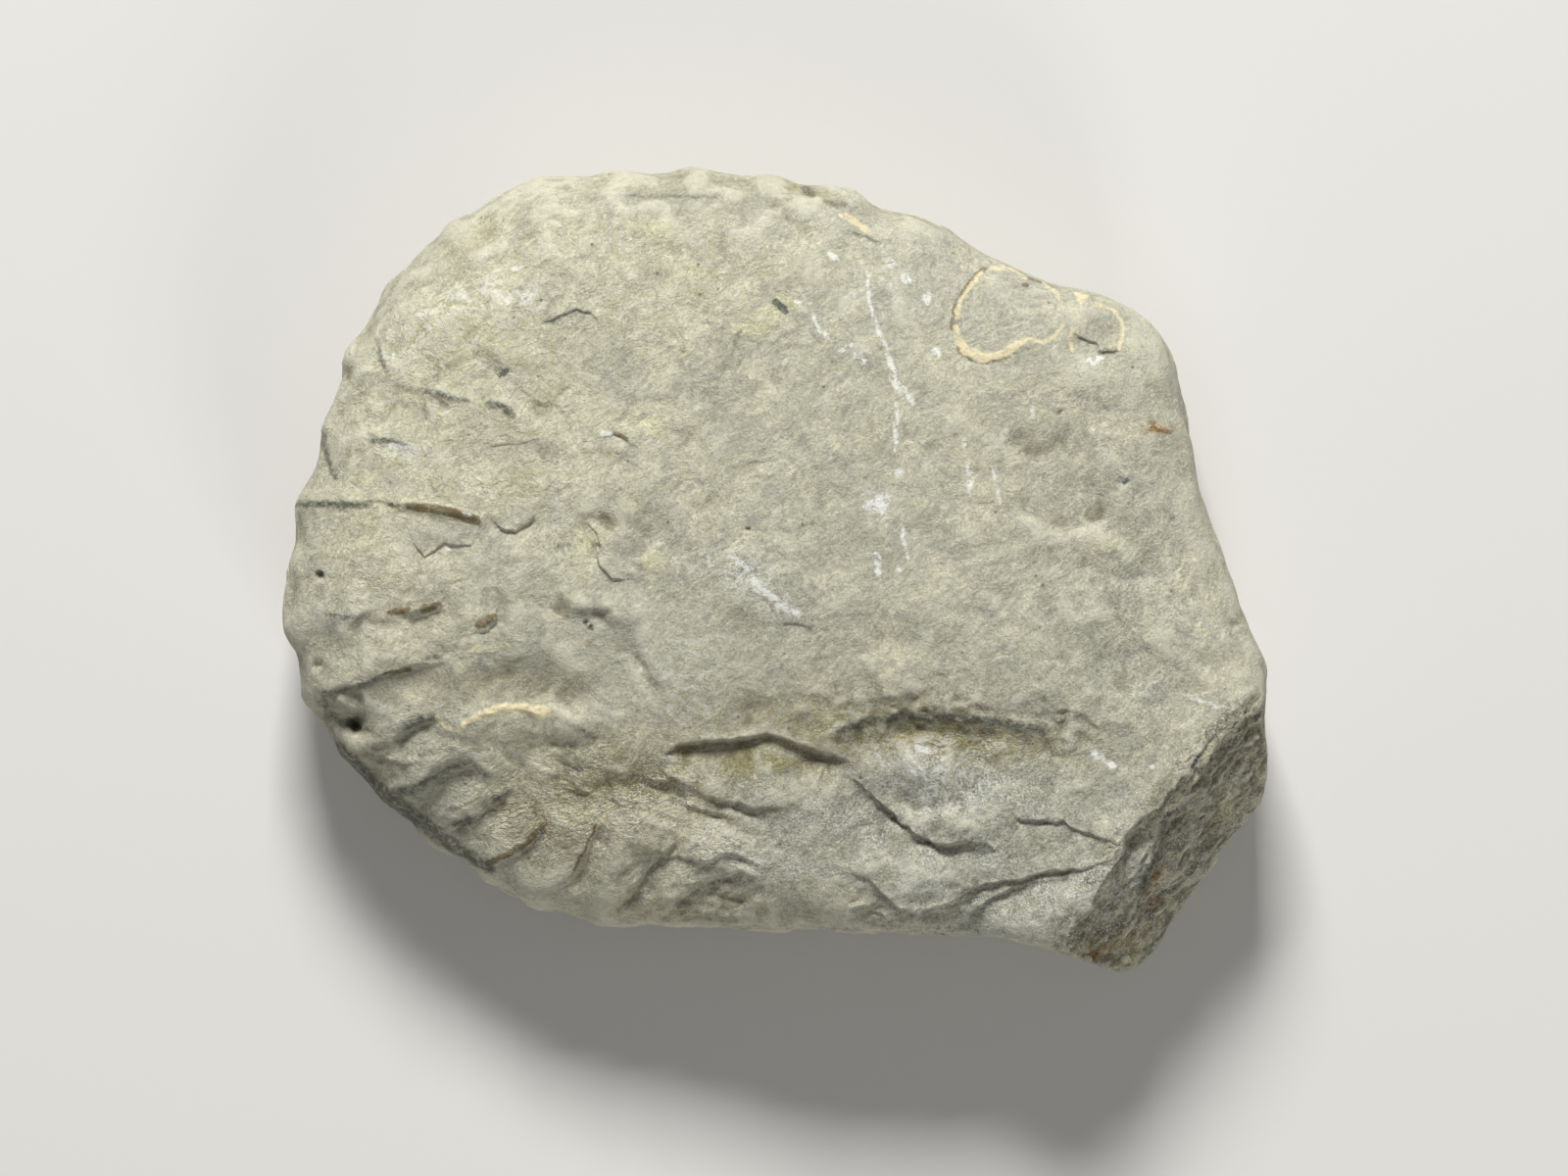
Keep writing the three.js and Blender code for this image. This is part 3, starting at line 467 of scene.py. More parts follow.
# The stone's surface in each direction from its middle, in millimetres, with or without
# the fine broken relief
def surfacePoints(directions, fine):
    around = np.hypot(directions[:, 0], directions[:, 1])
    bearings = np.arctan2(directions[:, 1], directions[:, 0]) / radians
    onFlank = directions[:, 2] > 0
    side = np.where(onFlank, 1.0, -1.0)
    square = np.where(onFlank, readRing(form["edgeSquareness"], 1, bearings),
                      readRing(form["edgeSquareness"], 2, bearings))
    shrink = (around ** square + np.abs(directions[:, 2]) ** square) ** (-1 / square)
    out = around * shrink
    up = np.abs(directions[:, 2]) * shrink
    stops = [(math.atan2(y, x) / radians % 360, math.hypot(x, y)) for x, y in form["outline"]]
    radius = readRing(stops, 1, bearings)
    flankReach = form["flankHeight"] - form["girdleHeight"] - form["flankDome"] * out * out
    reach = np.where(onFlank, flankReach, form["bellyDepth"])
    cosine, sine = np.cos(bearings * radians), np.sin(bearings * radians)
    x, y = radius * out * cosine, radius * out * sine
    points = np.stack((x, y, form["girdleHeight"] + side * up * reach), axis=1)

    lean = out ** (square - 1) / radius
    normals = np.stack((lean * cosine, lean * sine, side * up ** (square - 1) / reach), axis=1)
    normals /= np.linalg.norm(normals, axis=1, keepdims=True)
    rise = ribsHeight(x, y) - form["ribHeight"] / 2
    calm = 1 - blobsAt(calmAreas, x, y) * onFlank
    calm = calm * (0.5 + 0.5 * smoothStep(0.1, 0.5, up))
    for size, height in form["lumps"]:
        rise = rise + height * calm * noise(points, size)
    if fine:
        rise = rise + roughHeight(points, x, y)

    # broken lines wander, so the lines are read at places pushed about a little
    raggedX, raggedY = x, y
    for turn, (size, alongX, alongY) in enumerate(form["wander"]):
        raggedX = raggedX + alongX * noise(points, size, 20.0 + turn)
        raggedY = raggedY + alongY * noise(points, size, 30.0 + turn)
    relief = np.zeros(x.shape)
    flank, belly = np.flatnonzero(onFlank), np.flatnonzero(~onFlank)
    flankX, flankY = raggedX[flank], raggedY[flank]
    relief[flank] = ledgesHeight(flankLedges + smallLedges, flankX, flankY)
    relief[flank] += foldsHeight(flankFolds + smallFolds, flankX, flankY)
    relief[flank] += blobsAt(flankLumps, flankX, flankY)
    for (atX, atY), size, depth in smallPits:
        relief[flank] -= depth * np.exp(-((flankX - atX) ** 2 + (flankY - atY) ** 2) / size ** 2)
    relief[belly] = ledgesHeight(bellyLedges, raggedX[belly], raggedY[belly])
    relief[belly] += blobsAt(bellyLumps, raggedX[belly], raggedY[belly])
    points += normals * rise[:, None]
    points[:, 2] += side * smoothStep(form["reliefStart"], form["reliefFull"], up) * relief
    points = cutBack(points)
    points[:, 2] = np.maximum(points[:, 2], 0)
    return points


# A closed mesh of directions from the middle: rings on a drum, and a point at each end
def coarseDrum(columns=20):
    rings = ((0.45, 1), (1, 1), (1, 0), (1, -1), (0.45, -1))
    directions = [(0, 0, 1)]
    for out, up in rings:
        for i in range(columns):
            angle = 2 * math.pi * i / columns
            directions.append((out * math.cos(angle), out * math.sin(angle), up))
    directions.append((0, 0, -1))
    last = len(directions) - 1
    triangles = []
    for i in range(columns):
        following = (i + 1) % columns
        triangles.append((0, 1 + i, 1 + following))
        for ring in range(len(rings) - 1):
            upper = 1 + ring * columns
            lower = upper + columns
            triangles.append((upper + i, lower + i, lower + following))
            triangles.append((upper + i, lower + following, upper + following))
        lowest = last - columns
        triangles.append((lowest + i, last, lowest + following))
    return np.array(directions, float), np.array(triangles)


# Halves the chosen edges, the longest edge of each triangle first
def splitTriangles(triangles, edges, longestFirst, middle):
    order = (longestFirst[:, None] + np.arange(3)) % 3
    a, b, c = np.take_along_axis(triangles, order, 1).T
    ab, bc, ca = middle[np.take_along_axis(edges, order, 1)].T
    halved = ab >= 0
    pieces = [triangles[~halved]]
    for rows, corners in (
        (halved & (bc < 0), (ab, b, c)),
        (halved & (bc >= 0), (ab, b, bc)),
        (halved & (bc >= 0), (ab, bc, c)),
        (halved & (ca < 0), (a, ab, c)),
        (halved & (ca >= 0), (a, ab, ca)),
        (halved & (ca >= 0), (ab, c, ca)),
    ):
        pieces.append(np.stack(corners, axis=1)[rows])
    return np.concatenate(pieces)


# One round of refining: edges too long for their place, or too far from the surface, are halved
def refine(directions, points, triangles):
    count = len(directions)
    corners = np.concatenate((triangles[:, (0, 1)], triangles[:, (1, 2)], triangles[:, (2, 0)]))
    keys, edges = np.unique(corners.min(1) * count + corners.max(1), return_inverse=True)
    edges = edges.reshape(3, -1).T
    first, second = keys // count, keys % count
    halfway = (directions[first] + directions[second]) / 2
    size = np.maximum(np.hypot(halfway[:, 0], halfway[:, 1]), np.abs(halfway[:, 2]))
    halfway /= size[:, None]
    middles = surfacePoints(halfway, fine=False)
    chord = (points[first] + points[second]) / 2
    lengths = np.linalg.norm(points[first] - points[second], axis=1)
    misses = np.linalg.norm(middles - chord, axis=1)
    longest, shortest, miss = meshLimits(chord)
    split = (lengths > longest) | ((lengths > shortest) & (misses > miss))
    turn = lengths[edges].argmax(1)
    longestEdge = edges[np.arange(len(edges)), turn]
    while True:
        needed = longestEdge[split[edges].any(1)]
        if split[needed].all():
            break
        split[needed] = True
    middle = np.full(len(keys), -1)
    middle[split] = count + np.arange(split.sum())
    directions = np.concatenate((directions, halfway[split]))
    points = np.concatenate((points, middles[split]))
    return directions, points, splitTriangles(triangles, edges, turn, middle)


# The mesh, in millimetres
meshSizes = {
    # limits on the sides, how much less on the flank, how much less again where the flank is
    # broken up, and how much more underneath
    "longest": (2.2, 0.3, 0.68, 1.3),
    "shortest": (1.02, 0.32, 0, 0.8),
    "miss": (0.13, 0.06, 0, 0.12),
    "longestOnFace": 1.2,             # on a broken face
    "lessByLines": (0.58, 0.6, 0.6),  # share taken off the three limits beside fine lines
    "fineFace": 0.6,                  # ledges with a narrower face than this are fine lines
    "fineMark": 0.8,                  # and so are marks with a smaller half-width
    # heights where each of these starts to count, and where it counts fully
    "flankHeights": (30, 42),
    "bellyHeights": (12, 3),
    "fineHeights": (24, 34),
    "rounds": 8,
}


# How near each place is to a line or mark that needs a fine mesh: 1 on it, 0 away from it
def nearFineLines(x, y):
    lines = [entry[3:] for entry in smallLedges] + [entry[2:] for entry in smallFolds]
    lines += [line for drop, face, reach, *line in flankLedges if face < meshSizes["fineFace"]]
    for group in marks.values():
        lines += [line for halfWidth, *line in group if halfWidth < meshSizes["fineMark"]]
    nearness = np.zeros(x.shape)
    for line in lines:
        near = placesNear(line, x, y, 2)
        gap = besideLine(line, x[near], y[near])[0]
        nearness[near] = np.maximum(nearness[near], smoothStep(1.3, 0.6, gap))
    return nearness


# At each place, the longest and shortest edge and how far an edge may miss the surface
def meshLimits(places):
    x, y, z = places.T
    flank = smoothStep(*meshSizes["flankHeights"], z)
    belly = smoothStep(*meshSizes["bellyHeights"], z)
    broken = np.clip(blobsAt(brokenAreas, x, y), 0, 1)
    face = brokenShare(places) * (1 - belly)
    fine = nearFineLines(x, y) * smoothStep(*meshSizes["fineHeights"], z)
    limits = []
    for name in ("longest", "shortest", "miss"):
        sides, lessOnFlank, lessBroken, moreBelow = meshSizes[name]
        limits.append(sides - (lessOnFlank + lessBroken * broken) * flank + moreBelow * belly)
    limits[0] += (meshSizes["longestOnFace"] - limits[0]) * face
    return [limit * (1 - less * fine) for limit, less in zip(limits, meshSizes["lessByLines"])]


def stoneMesh():
    directions, triangles = coarseDrum()
    points = surfacePoints(directions, fine=False)
    for turn in range(meshSizes["rounds"]):
        directions, points, triangles = refine(directions, points, triangles)
    return surfacePoints(directions, fine=True), triangles


# Marks on the flank, in millimetres: half-width, then the line's points
marks = {
    "scuff": (
        (0.3, (20, 62), (20.2, 55.9), (21.8, 51.1)),
        (0.5, (21.8, 51.1), (23.4, 47), (25, 42.2), (26.6, 38)), (0.7, (26.6, 38), (29.5, 34.4)),
        (0.5, (24.6, 40), (27.4, 36)), (0.45, (26.1, 34.1), (25.9, 24.5)),
        (0.45, (8.2, 52.9), (9.6, 50.3), (11.6, 48.4)), (0.6, (14, 45.4), (16.4, 46.8)),
        (0.8, (17.4, 45), (19.2, 43)), (0.5, (4.6, 55.6), (5.8, 55.9)), (0.55, (41.3, 22.4), (41.6, 15.4)),
        (0.35, (46.1, 21), (47.6, 13.4)), (0.4, (54, 34.6), (54.9, 31.8)), (0.4, (27.3, 8.2), (28.2, 1.8)),
        (0.7, (21.8, 2.8), (22.3, -1.8)), (0.6, (12, 66), (13.6, 64.2)),
        (0.35, (86.6, -26.7), (90, -28), (94, -29.5)), (0.5, (-36.4, 27.8), (-34.2, 28.2)),
        (1, (24.6, 64.4), (25.3, 63.2)), (0.9, (27.5, 61.6), (28.6, 60.1)), (1, (32.2, 57.4), (33, 56)),
        (0.8, (34.2, 45.6), (34.8, 44.4)), (0.9, (26.8, 20.4), (26.8, 19.3)),
        (0.6, (40, 26.8), (40.2, 25.4)), (0.6, (-54.6, 62.9), (-53, 63.3)),
        (0.9, (66.2, 43.2), (69.2, 43.8)), (0.5, (-9.6, 2), (-7, 1.2), (-4.6, -1.4)),
        (0.7, (-3.6, -2.6), (-1.4, -5.1), (1.4, -7.9), (5.6, -10.1)), (1.1, (19.7, 12.6), (23.9, 14.4)),
        (0.8, (22.6, 11.4), (23.6, 15.4)), (0.5, (26.2, -0.2), (26.9, -0.6)),
        (0.4, (-79.8, 13.2), (-79.2, 13.2)), (0.6, (-35.9, 28.4), (-35.2, 28)),
        (0.5, (-81, 25.6), (-76, 25)), (0.35, (-65.4, 11.7), (-63.4, 11)), (1, (67.6, -39.2), (69, -39.8)),
        (0.7, (70.6, -41.2), (71.8, -41.6)), (0.5, (79.5, -41.8), (79.9, -41.9)),
        (0.9, (30.4, -37.6), (32.6, -38.8)), (0.6, (-68.6, 4.4), (-68.2, 3.8)),
    ),
    "shell": (
        (0.5, (44.4, 62.2), (41.9, 59.5), (39.5, 56), (38.7, 52.5)),
        (0.8, (38.6, 50.4), (38.8, 48.4), (40.6, 45.5), (44.1, 44), (47.6, 44.4), (50.6, 46.4), (53.6, 48)),
        (0.4, (53.6, 48), (57.1, 47.1), (59.6, 48.7), (61, 51)),
        (0.4, (46.1, 63), (49, 63.2), (51.1, 62.8), (53.6, 61.3)),
        (0.35, (57.2, 60.2), (59.9, 58), (60.4, 56.5)),
        (0.45, (64.5, 57.6), (66.2, 57.2), (65, 55.9), (64.6, 57.4)),
        (0.4, (68, 55.6), (71.4, 54.5), (73, 53), (73.8, 50.9), (73.6, 48.6), (73.2, 45.7)),
        (0.5, (63, 50.3), (63, 45.7)), (0.75, (14.5, 74.2), (17.4, 72.8), (19.8, 71)),
        (0.6, (33.2, 73.8), (35.6, 72.8)), (0.65, (-66.1, -34.3), (-64.6, -32.8), (-61.5, -31.1)),
        (1.05, (-61.5, -31.1), (-57.9, -30), (-54.8, -29.7)),
        (1.2, (-54.8, -29.7), (-50.7, -30.2), (-47.4, -30.5)),
        (0.4, (-70.8, -31.5), (-69.6, -33), (-68, -34.1)),
    ),
    "brown": (
        (0.4, (44.2, 62.9), (41.2, 59.7), (38.8, 56.2), (38, 52.5), (37.8, 50)),
        (0.3, (39, 46), (41.6, 43.6), (44.1, 42.9), (47.8, 43.3), (51, 45.3)),
        (0.3, (53.6, 61.3), (57.6, 60.1), (59.2, 59)), (0.6, (44.2, 62.2), (45, 62.8)),
        (0.5, (52.9, 59.4), (53.8, 59.6)), (0.35, (37.6, 51.4), (39, 50.6)),
        (0.9, (-76.9, 13), (-72.6, 12.4), (-69.4, 11.8)),
        (1.15, (-69.4, 11.8), (-65.1, 10.9), (-62.3, 9.9)), (0.6, (-80.8, 13), (-79, 12.9)),
        (0.6, (-81, -9.8), (-76.6, -8.9)), (0.8, (-74, -9), (-70.4, -8)), (1, (-62, -12.2), (-58.8, -10.4)),
        (0.7, (-60.5, -62.7), (-57.9, -61.7), (-54.8, -60.1), (-51.7, -58), (-48.4, -54.4)),
        # the line from (-82, -22.6) to (-76.4, -21.3) is painted shade under a rib
        (0.35, (-41.9, -63.7), (-39.8, -59.6), (-37.3, -54.4)), (0.45, (-82, -22.6), (-76.4, -21.3)),
        (0.6, (-33.6, 28.2), (-30.6, 26.9)), (0.3, (81, 28.9), (84, 28.3)),
    ),
    # painted shade in the small pits and chips
    "chipShade": (
        (0.8, (0.5, 55.8), (1.6, 54.8), (2.8, 53.5)), (0.6, (-57.2, 40.4), (-55.8, 41.8)),
        (0.8, (-96.2, -1.2), (-95.4, -1.7)), (0.45, (-39.5, -11.6), (-39.1, -12)),
        (0.45, (-38.5, -12.6), (-38.1, -12.9)), (0.35, (-5.2, 7.8), (-5, 7.8)),
        (0.3, (60.3, 32.2), (60.7, 32)), (0.3, (70.6, 32.8), (70.8, 32.8)),
        (0.35, (73.8, 17.6), (74.8, 18.4)),
    ),
    # mostly painted shade: under ribs, ledges and raised flakes, in cracks, along the scarp and at the
    # lower-left margin, with some dark stain
    "dark": (
        (0.5, (-74.1, 37.5), (-69, 36), (-64.2, 34.7)), (0.7, (-60.4, 34.7), (-57, 33.8), (-54.4, 31.7)),
        (0.7, (-84.5, 26.6), (-80.6, 26.4), (-76.6, 25)), (0.5, (-95.3, 26.4), (-94, 22.6), (-92.5, 18.9)),
        (0.7, (-101.4, 13.4), (-94, 13), (-85, 13)),
        (0.25, (-47.7, 51.6), (-44, 52.9), (-41.2, 53.9), (-38.4, 53.5)),
        (0.4, (-83.4, 47.5), (-82.6, 44), (-81.6, 41.4)), (0.18, (-31, 78.2), (-22, 78.3), (-12, 78)),
        (0.25, (17.3, 70.3), (20, 69.5), (22.6, 68.5)), (0.9, (6.8, 80), (8.6, 78.6)),
        (0.5, (11.3, 76.8), (15.3, 76.4)), (0.3, (-94, -9.9), (-90, -10.8), (-85, -10.4)),
        (0.5, (-95, -27.1), (-90, -25.8), (-85.2, -24.3), (-81.6, -22.5)),
        (0.6, (-95.2, -26.4), (-94.4, -30.6), (-91, -33), (-87.6, -33.8)),
        (0.5, (-73.9, -19.6), (-69.2, -18.4)), (0.8, (-78.5, -34.3), (-75.4, -32.5), (-71.8, -31.5)),
        (1, (-79.5, -47.5), (-76.4, -47.2), (-73.4, -45.2)),
        (0.6, (-73.4, -45.2), (-68.2, -42.6), (-64.4, -41.2)), (0.8, (-59.4, -49.3), (-56.3, -47.2)),
        (0.8, (-67.4, -54.4), (-63, -52.9)), (1.5, (-92, -38), (-82, -48.4), (-71, -56.8), (-60, -64)),
        (0.5, (68.9, 45.2), (73, 45.8)), (0.3, (-46, 4), (-43, 4.6)), (0.35, (-7, 49.8), (-8, 46.6)),
        (0.5, (82.8, -56), (81.2, -61.4), (78.8, -64.6), (78, -69)),
        (1, (14, -34.6), (20, -32.6), (29, -31.4), (40, -31.8), (50, -33.2), (57, -35)),
    ),
}

# Changes of colour in patches: place, half-lengths, turn and strength. The tint is creamier
# above 0 and greyer below.
# Some tint and olive patches are painted shade, and one olive patch a painted highlight, as marked below.
patches = {
    "tint": (
        ((-70, 45), (34, 30), 45, 0.9), ((-20, 66), (30, 14), 0, 0.5), ((-85, 0), (18, 24), 0, 0.4),
        ((-10, -3), (34, 10), 5, -0.2), ((72, -8), (18, 40), 8, -0.3), ((-62, -26), (24, 7), 5, -0.5),
        ((-75, -50), (20, 12), -45, -0.5), ((-38, -50), (24, 12), 0, 0.9), ((36, -56), (44, 22), 0, -1.3),
        # the patch at (-4, -42) is painted shade on the floor under the lip
        ((-52, 22), (12, 11), 0, 0.9), ((34, 30), (30, 20), 0, -0.05), ((-4, -42), (20, 5), 0, -1.2),
        ((60, 32), (20, 14), 0, 0.3), ((84, -26), (10, 16), -45, 0.25), ((-58, -72), (26, 10), -25, -0.3),
        ((-80, 17.2), (2.6, 2.4), 0, -1.2), ((-73, 7.4), (9, 3.4), 0, -1),
        ((-66, 6.8), (2.6, 2.4), 0, -0.6), ((-92, -11.4), (8, 1.8), 5, -1.2),
        ((49, 53.5), (9.6, 8), 0, -0.7), ((68, 50.5), (5, 5), 0, -0.6), ((-25, 1.4), (3.6, 3), 20, 1.4),
        ((-39.6, 4.6), (3.2, 4.6), 0, 1), ((-4, 50.6), (4.4, 2.4), 10, 1.8), ((-20, 50), (9, 5), 30, 0.7),
        ((70, 5), (9, 4), 15, 0.9), ((-25, 31), (7, 4.4), 0, 0.7), ((-29, -13), (10, 9), 0, -0.7),
        # painted shade: the patches at (-10, 80), (-76, 64) and (44, 68) along the top edge, (6, -28) along
        # the scarp, (-87, -35) at the lower-left margin and (70, -79) at the lower corner
        ((-45, 8), (3.4, 17), 3, 0.9), ((-10, 80), (40, 6), 0, -1.2), ((-76, 64), (24, 4.5), 47, -1.1),
        ((44, 68), (26, 4.5), -28, -1), ((6, -28), (40, 7), -2, -0.9), ((-48, -41), (14, 8), -30, 1),
        ((-87, -35), (10, 7), -45, -0.8), ((70, -79), (10, 6), 0, -1),
    ),
    "cream": (
        ((-4, 50.4), (5, 2.2), 10, 1), ((-2, 53), (3, 2), 30, 0.9), ((2.6, 55.6), (2.6, 1.3), -12, 1.1),
        ((-16, 62), (4.4, 2.8), 0, 0.7), ((-24, 71), (5.4, 3.8), 0, 0.65), ((-66, 50), (26, 15), 45, 0.62),
        ((-25, 1.4), (3.4, 2.8), 20, 0.9), ((-39.6, 5), (2.8, 4.4), 0, 0.7),
        ((-25, 29.6), (6, 3.4), 0, 0.7), ((70, 5), (8, 3.4), 15, 0.6), ((90, -14), (4, 8), -15, 0.5),
        ((85, -36), (8, 4), 50, 0.45), ((-86, 10), (12, 16), 0, 0.5), ((-60, -17), (9, 2), 10, 0.6),
    ),
    "olive": (
        # the patch at (77.5, -62.5), with less olive, is a painted highlight on a facet of the broken face
        ((-60, -25), (14, 4), 3, 0.5), ((77.5, -62.5), (3.6, 8), -30, -0.7), ((-66, 52), (26, 16), 45, 0.3),
        ((8, 79), (7, 1.6), -20, 0.7), ((-62, 70), (8, 3), 40, 0.4), ((-32, -46), (20, 9), 10, 0.8),
        # painted shade: the patches at (-4, -41) under the lip, (12, -30) along the scarp, (38, -36) under
        # it, (-10, 81), (-78, 65) and (-87, -35) along the edges, (70, -80) at the lower corner and (-80,
        # -54) at the lower-left margin
        ((-48, -53), (14, 7), -35, 0.3), ((-4, -41), (20, 5), 0, 0.9), ((12, -30), (40, 7), -2, 0.55),
        ((-10, 81), (40, 4), 0, 0.35), ((-78, 65), (24, 3.5), 47, 0.35), ((-87, -35), (10, 7), -45, 0.3),
        ((70, -80), (10, 5), 0, 0.5), ((38, -36), (28, 5), -4, 1), ((-14, -72), (22, 5), 0, 0.5),
        ((-80, -54), (5, 26), 45, 0.6),
    ),
    "wrinkled": (
        ((-34, -47), (20, 9), 10, 1), ((-50, -54), (12, 8), -35, 0.7), ((-12, -62), (14, 6), -10, 0.7),
        ((40, -36), (26, 3.5), -4, 0.8), ((-70, -40), (18, 9), -40, 0.35),
    ),
    "layered": (
        ((-80, -52), (4, 26), 45, 0.3),
    ),
    "rust": (
        ((-30, -53), (20, 8), 5, 0.16), ((80.6, -68), (1.6, 8), -8, 1), ((72.5, -80), (4, 1.6), 15, 0.8),
        ((67.8, -82.4), (1.6, 1.3), 0, 1.3), ((79.8, 29.4), (1.7, 1), 0, 3),
        ((83, 28.6), (2.4, 0.6), -12, 0.9), ((-78.8, -9.4), (1.8, 1), 20, 0.9),
        ((-63, 68), (0.8, 2.8), 10, 0.35), ((-86, -39), (2, 2), 0, 0.5),
        ((-38.3, -16.2), (0.7, 0.5), 0, 0.9), ((30, 74), (3, 0.8), -15, 0.8),
    ),
    "dust": (
        ((-66, 48), (22, 12), 45, 0.5), ((-4, -3), (9, 3.4), -38, 1.3), ((-14, 1), (5, 1.6), 10, 0.6),
        ((21.8, 13.6), (3, 2.6), 0, 1), ((34, -44), (13, 7), -20, 1.1), ((68.6, -39.8), (2, 1.6), 0, 1),
        ((-78, 24.6), (5, 1.8), -10, 1), ((26, 56), (14, 10), 0, 0.35), ((-20, -24), (12, 9), -45, 0.5),
        ((56, -73), (14, 6), 10, 0.8), ((30, -66), (8, 4), 0, 0.6), ((-30, -55), (8, 4), 30, 0.5),
        ((78, -63), (3, 7), -30, 0.5), ((-66, 56), (9, 3), 25, 0.7), ((-52, 57), (4, 3), 0, 0.7),
        ((-80, 46), (6, 4), 45, 0.5), ((-8, -62), (10, 5), 0, 0.6), ((-57, -38), (8, 4), 0, 0.3),
        ((-45.5, 10), (2, 15), 3, 0.55),
    ),
}

# What the broken faces have of each of these
brokenLook = {"tint": 0.1, "olive": 0.45, "layered": 1.0}

# Where the stone is broken open and shows sugary grain: place, half-lengths, turn, strength
grainy = (
    ((40, -48), (34, 20), 0, 1), ((52, -74), (20, 12), 0, 1), ((-8, -58), (30, 14), 10, 0.6),
    ((-34, -46), (20, 9), 10, 0.9), ((-50, -54), (12, 8), -35, 0.4), ((76, -4), (16, 34), 8, 0.55),
    ((-6, -3), (16, 7), -30, 0.7),
)

markEdges = {
    "wander": 0.35,      # how far the lines wander, and the size of the wander, in millimetres
    "wanderSize": 1.6,
    "endWidth": 0.75,    # share of the half-width at a line's ends
    "farOutside": 6.0,
    "lowest": 22,        # marks fade out below this height
    "fade": 0.4,
}


# How far outside the nearest mark each point of the flank is: below 0 is inside it
def outsideMarks(lines, points):
    x = points[:, 0] + markEdges["wander"] * noise(points, markEdges["wanderSize"], 71.0)
    y = points[:, 1] + markEdges["wander"] * noise(points, markEdges["wanderSize"], 72.0)
    outside = np.full(x.shape, markEdges["farOutside"])
    endWidth = markEdges["endWidth"]
    for halfWidth, *line in lines:
        near = placesNear(line, x, y, 8)
        gap, along = besideLine(line, x[near], y[near])[:2]
        width = halfWidth * (endWidth + (1 - endWidth) * endTaper(along))
        outside[near] = np.minimum(outside[near], gap - width)
    return outside + markEdges["fade"] * np.maximum(0, markEdges["lowest"] - points[:, 2])


# What vectors add up to at the points that they belong to
def addedUp(owners, vectors, count):
    sums = [np.bincount(owners, weights=vectors[:, axis], minlength=count) for axis in range(3)]
    return np.stack(sums, axis=1)


# How far the surface lies under its own smoothed form: hollows above 0, edges below
def hollowness(points, triangles, rounds):
    first = np.concatenate((triangles[:, 0], triangles[:, 1], triangles[:, 2]))
    second = np.concatenate((triangles[:, 1], triangles[:, 2], triangles[:, 0]))
    count = len(points)
    links = np.bincount(first, minlength=count)[:, None]
    smoothed = points
    for turn in range(rounds):
        smoothed = 0.5 * smoothed + 0.5 * addedUp(first, smoothed[second], count) / links
    a, b, c = (points[triangles[:, corner]] for corner in range(3))
    faceNormals = np.cross(b - a, c - a)
    normals = np.zeros_like(points)
    for corner in range(3):
        normals += addedUp(triangles[:, corner], faceNormals, count)
    normals /= np.linalg.norm(normals, axis=1, keepdims=True)
    return ((smoothed - points) * normals).sum(1)


# Rounds of smoothing that find the narrow hollows and the broad ones
hollowRounds = {"hollow": 12, "broadHollow": 120}


def addValues(mesh, name, values):
    layer = mesh.attributes.new(name, "FLOAT", "POINT")
    layer.data.foreach_set("value", values.astype(np.float32))


# A colour given as six hex digits, as Blender wants it
def paint(digits):
    parts = [int(digits[i:i + 2], 16) / 255 for i in (0, 2, 4)]
    return [part / 12.92 if part <= 0.04045 else ((part + 0.055) / 1.055) ** 2.4 for part in parts] + [1]


# A function that adds a node to a material: sockets are linked, plain values are set
def nodeAdder(material):
    tree = material.node_tree

    def add(kind, inputs=None, **settings):
        node = tree.nodes.new("ShaderNode" + kind)
        for name, value in settings.items():
            setattr(node, name, value)
        for name, value in (inputs or {}).items():
            if isinstance(value, bpy.types.NodeSocket):
                tree.links.new(value, node.inputs[name])
            else:
                node.inputs[name].default_value = value
        return node

    return add


limestone = {
    "grey": "acaa98",
    "cream": "c3bfa6",
    # pale films, and the painted highlight on edges that stand out
    "pale": "d3d0ba",
    "slate": "92948c",
    "moss": "b4b28e",
    "butter": "d3cfa9",
    "olive": "938a60",
    "rust": "8f6a38",
    # painted shade and dirt in the hollows
    "hollow": "5a5039",
    "shell": "dfd2aa",
    "brown": "70603f",
    # the painted shade of the dark marks, and the dark specks
    "dark": "565850",
    # the painted shade in the pits and chips
    "chipShade": "565954",
    "scuff": "e6e6de",
    "fleck": "e6e6e0",
    "roughness": 0.9,
    "specular": 0.28,
    "bump": 0.6,
    "push": 11,       # how far the cloudy patterns are pushed about, and how broadly
    "pushSize": 13,
    "specks": 7,      # how far apart the dark specks are
    "reliefDepth": 0.001,  # in metres, as the bump takes it
}

# Random patterns over the stone: size in millimetres, detail, roughness
clouds = {
    "haze": (14, 8, 0.72),
    "slate": (6.5, 7, 0.68),
    "moss": (3.4, 7, 0.75),
    "butter": (2.6, 7, 0.75),
    "olive": (4, 6, 0.7),
    "rust": (2.2, 5, 0.7),
    "mottle": (1.5, 6, 0.75),
    "fine": (0.5, 4, 0.75),
    "sugar": (7, 4, 0.65),
    "flecks": (0.45, 2, 0.6),
    "dust": (1.4, 6, 0.8),
    "ragged": (0.9, 5, 0.75),
    "wear": (1.3, 6, 0.8),
    "coarse": (9, 4, 0.65),
    "creased": (11, 3, 0.6),
    "wrinkled": (9, 3, 0.6),
    "pits": (1.3, 4, 0.7),
}

# The same drawn out along a bearing: length, width, bearing, detail, roughness
streaks = {
    "wisps": (7, 3, 32, 7, 0.72),
    "films": (5.5, 2.6, 30, 7, 0.7),
    "scratches": (5.0, 1.1, 36, 5, 0.7),
    "bands": (8, 2.4, 50, 6, 0.7),
    "creases": (5, 2.4, 35, 5, 0.65),
    "wrinkles": (5, 1.6, 12, 3, 0.6),
    "layers": (5, 1.5, 50, 5, 0.65),
    "flakes": (8, 5, 30, 6, 0.6),
}

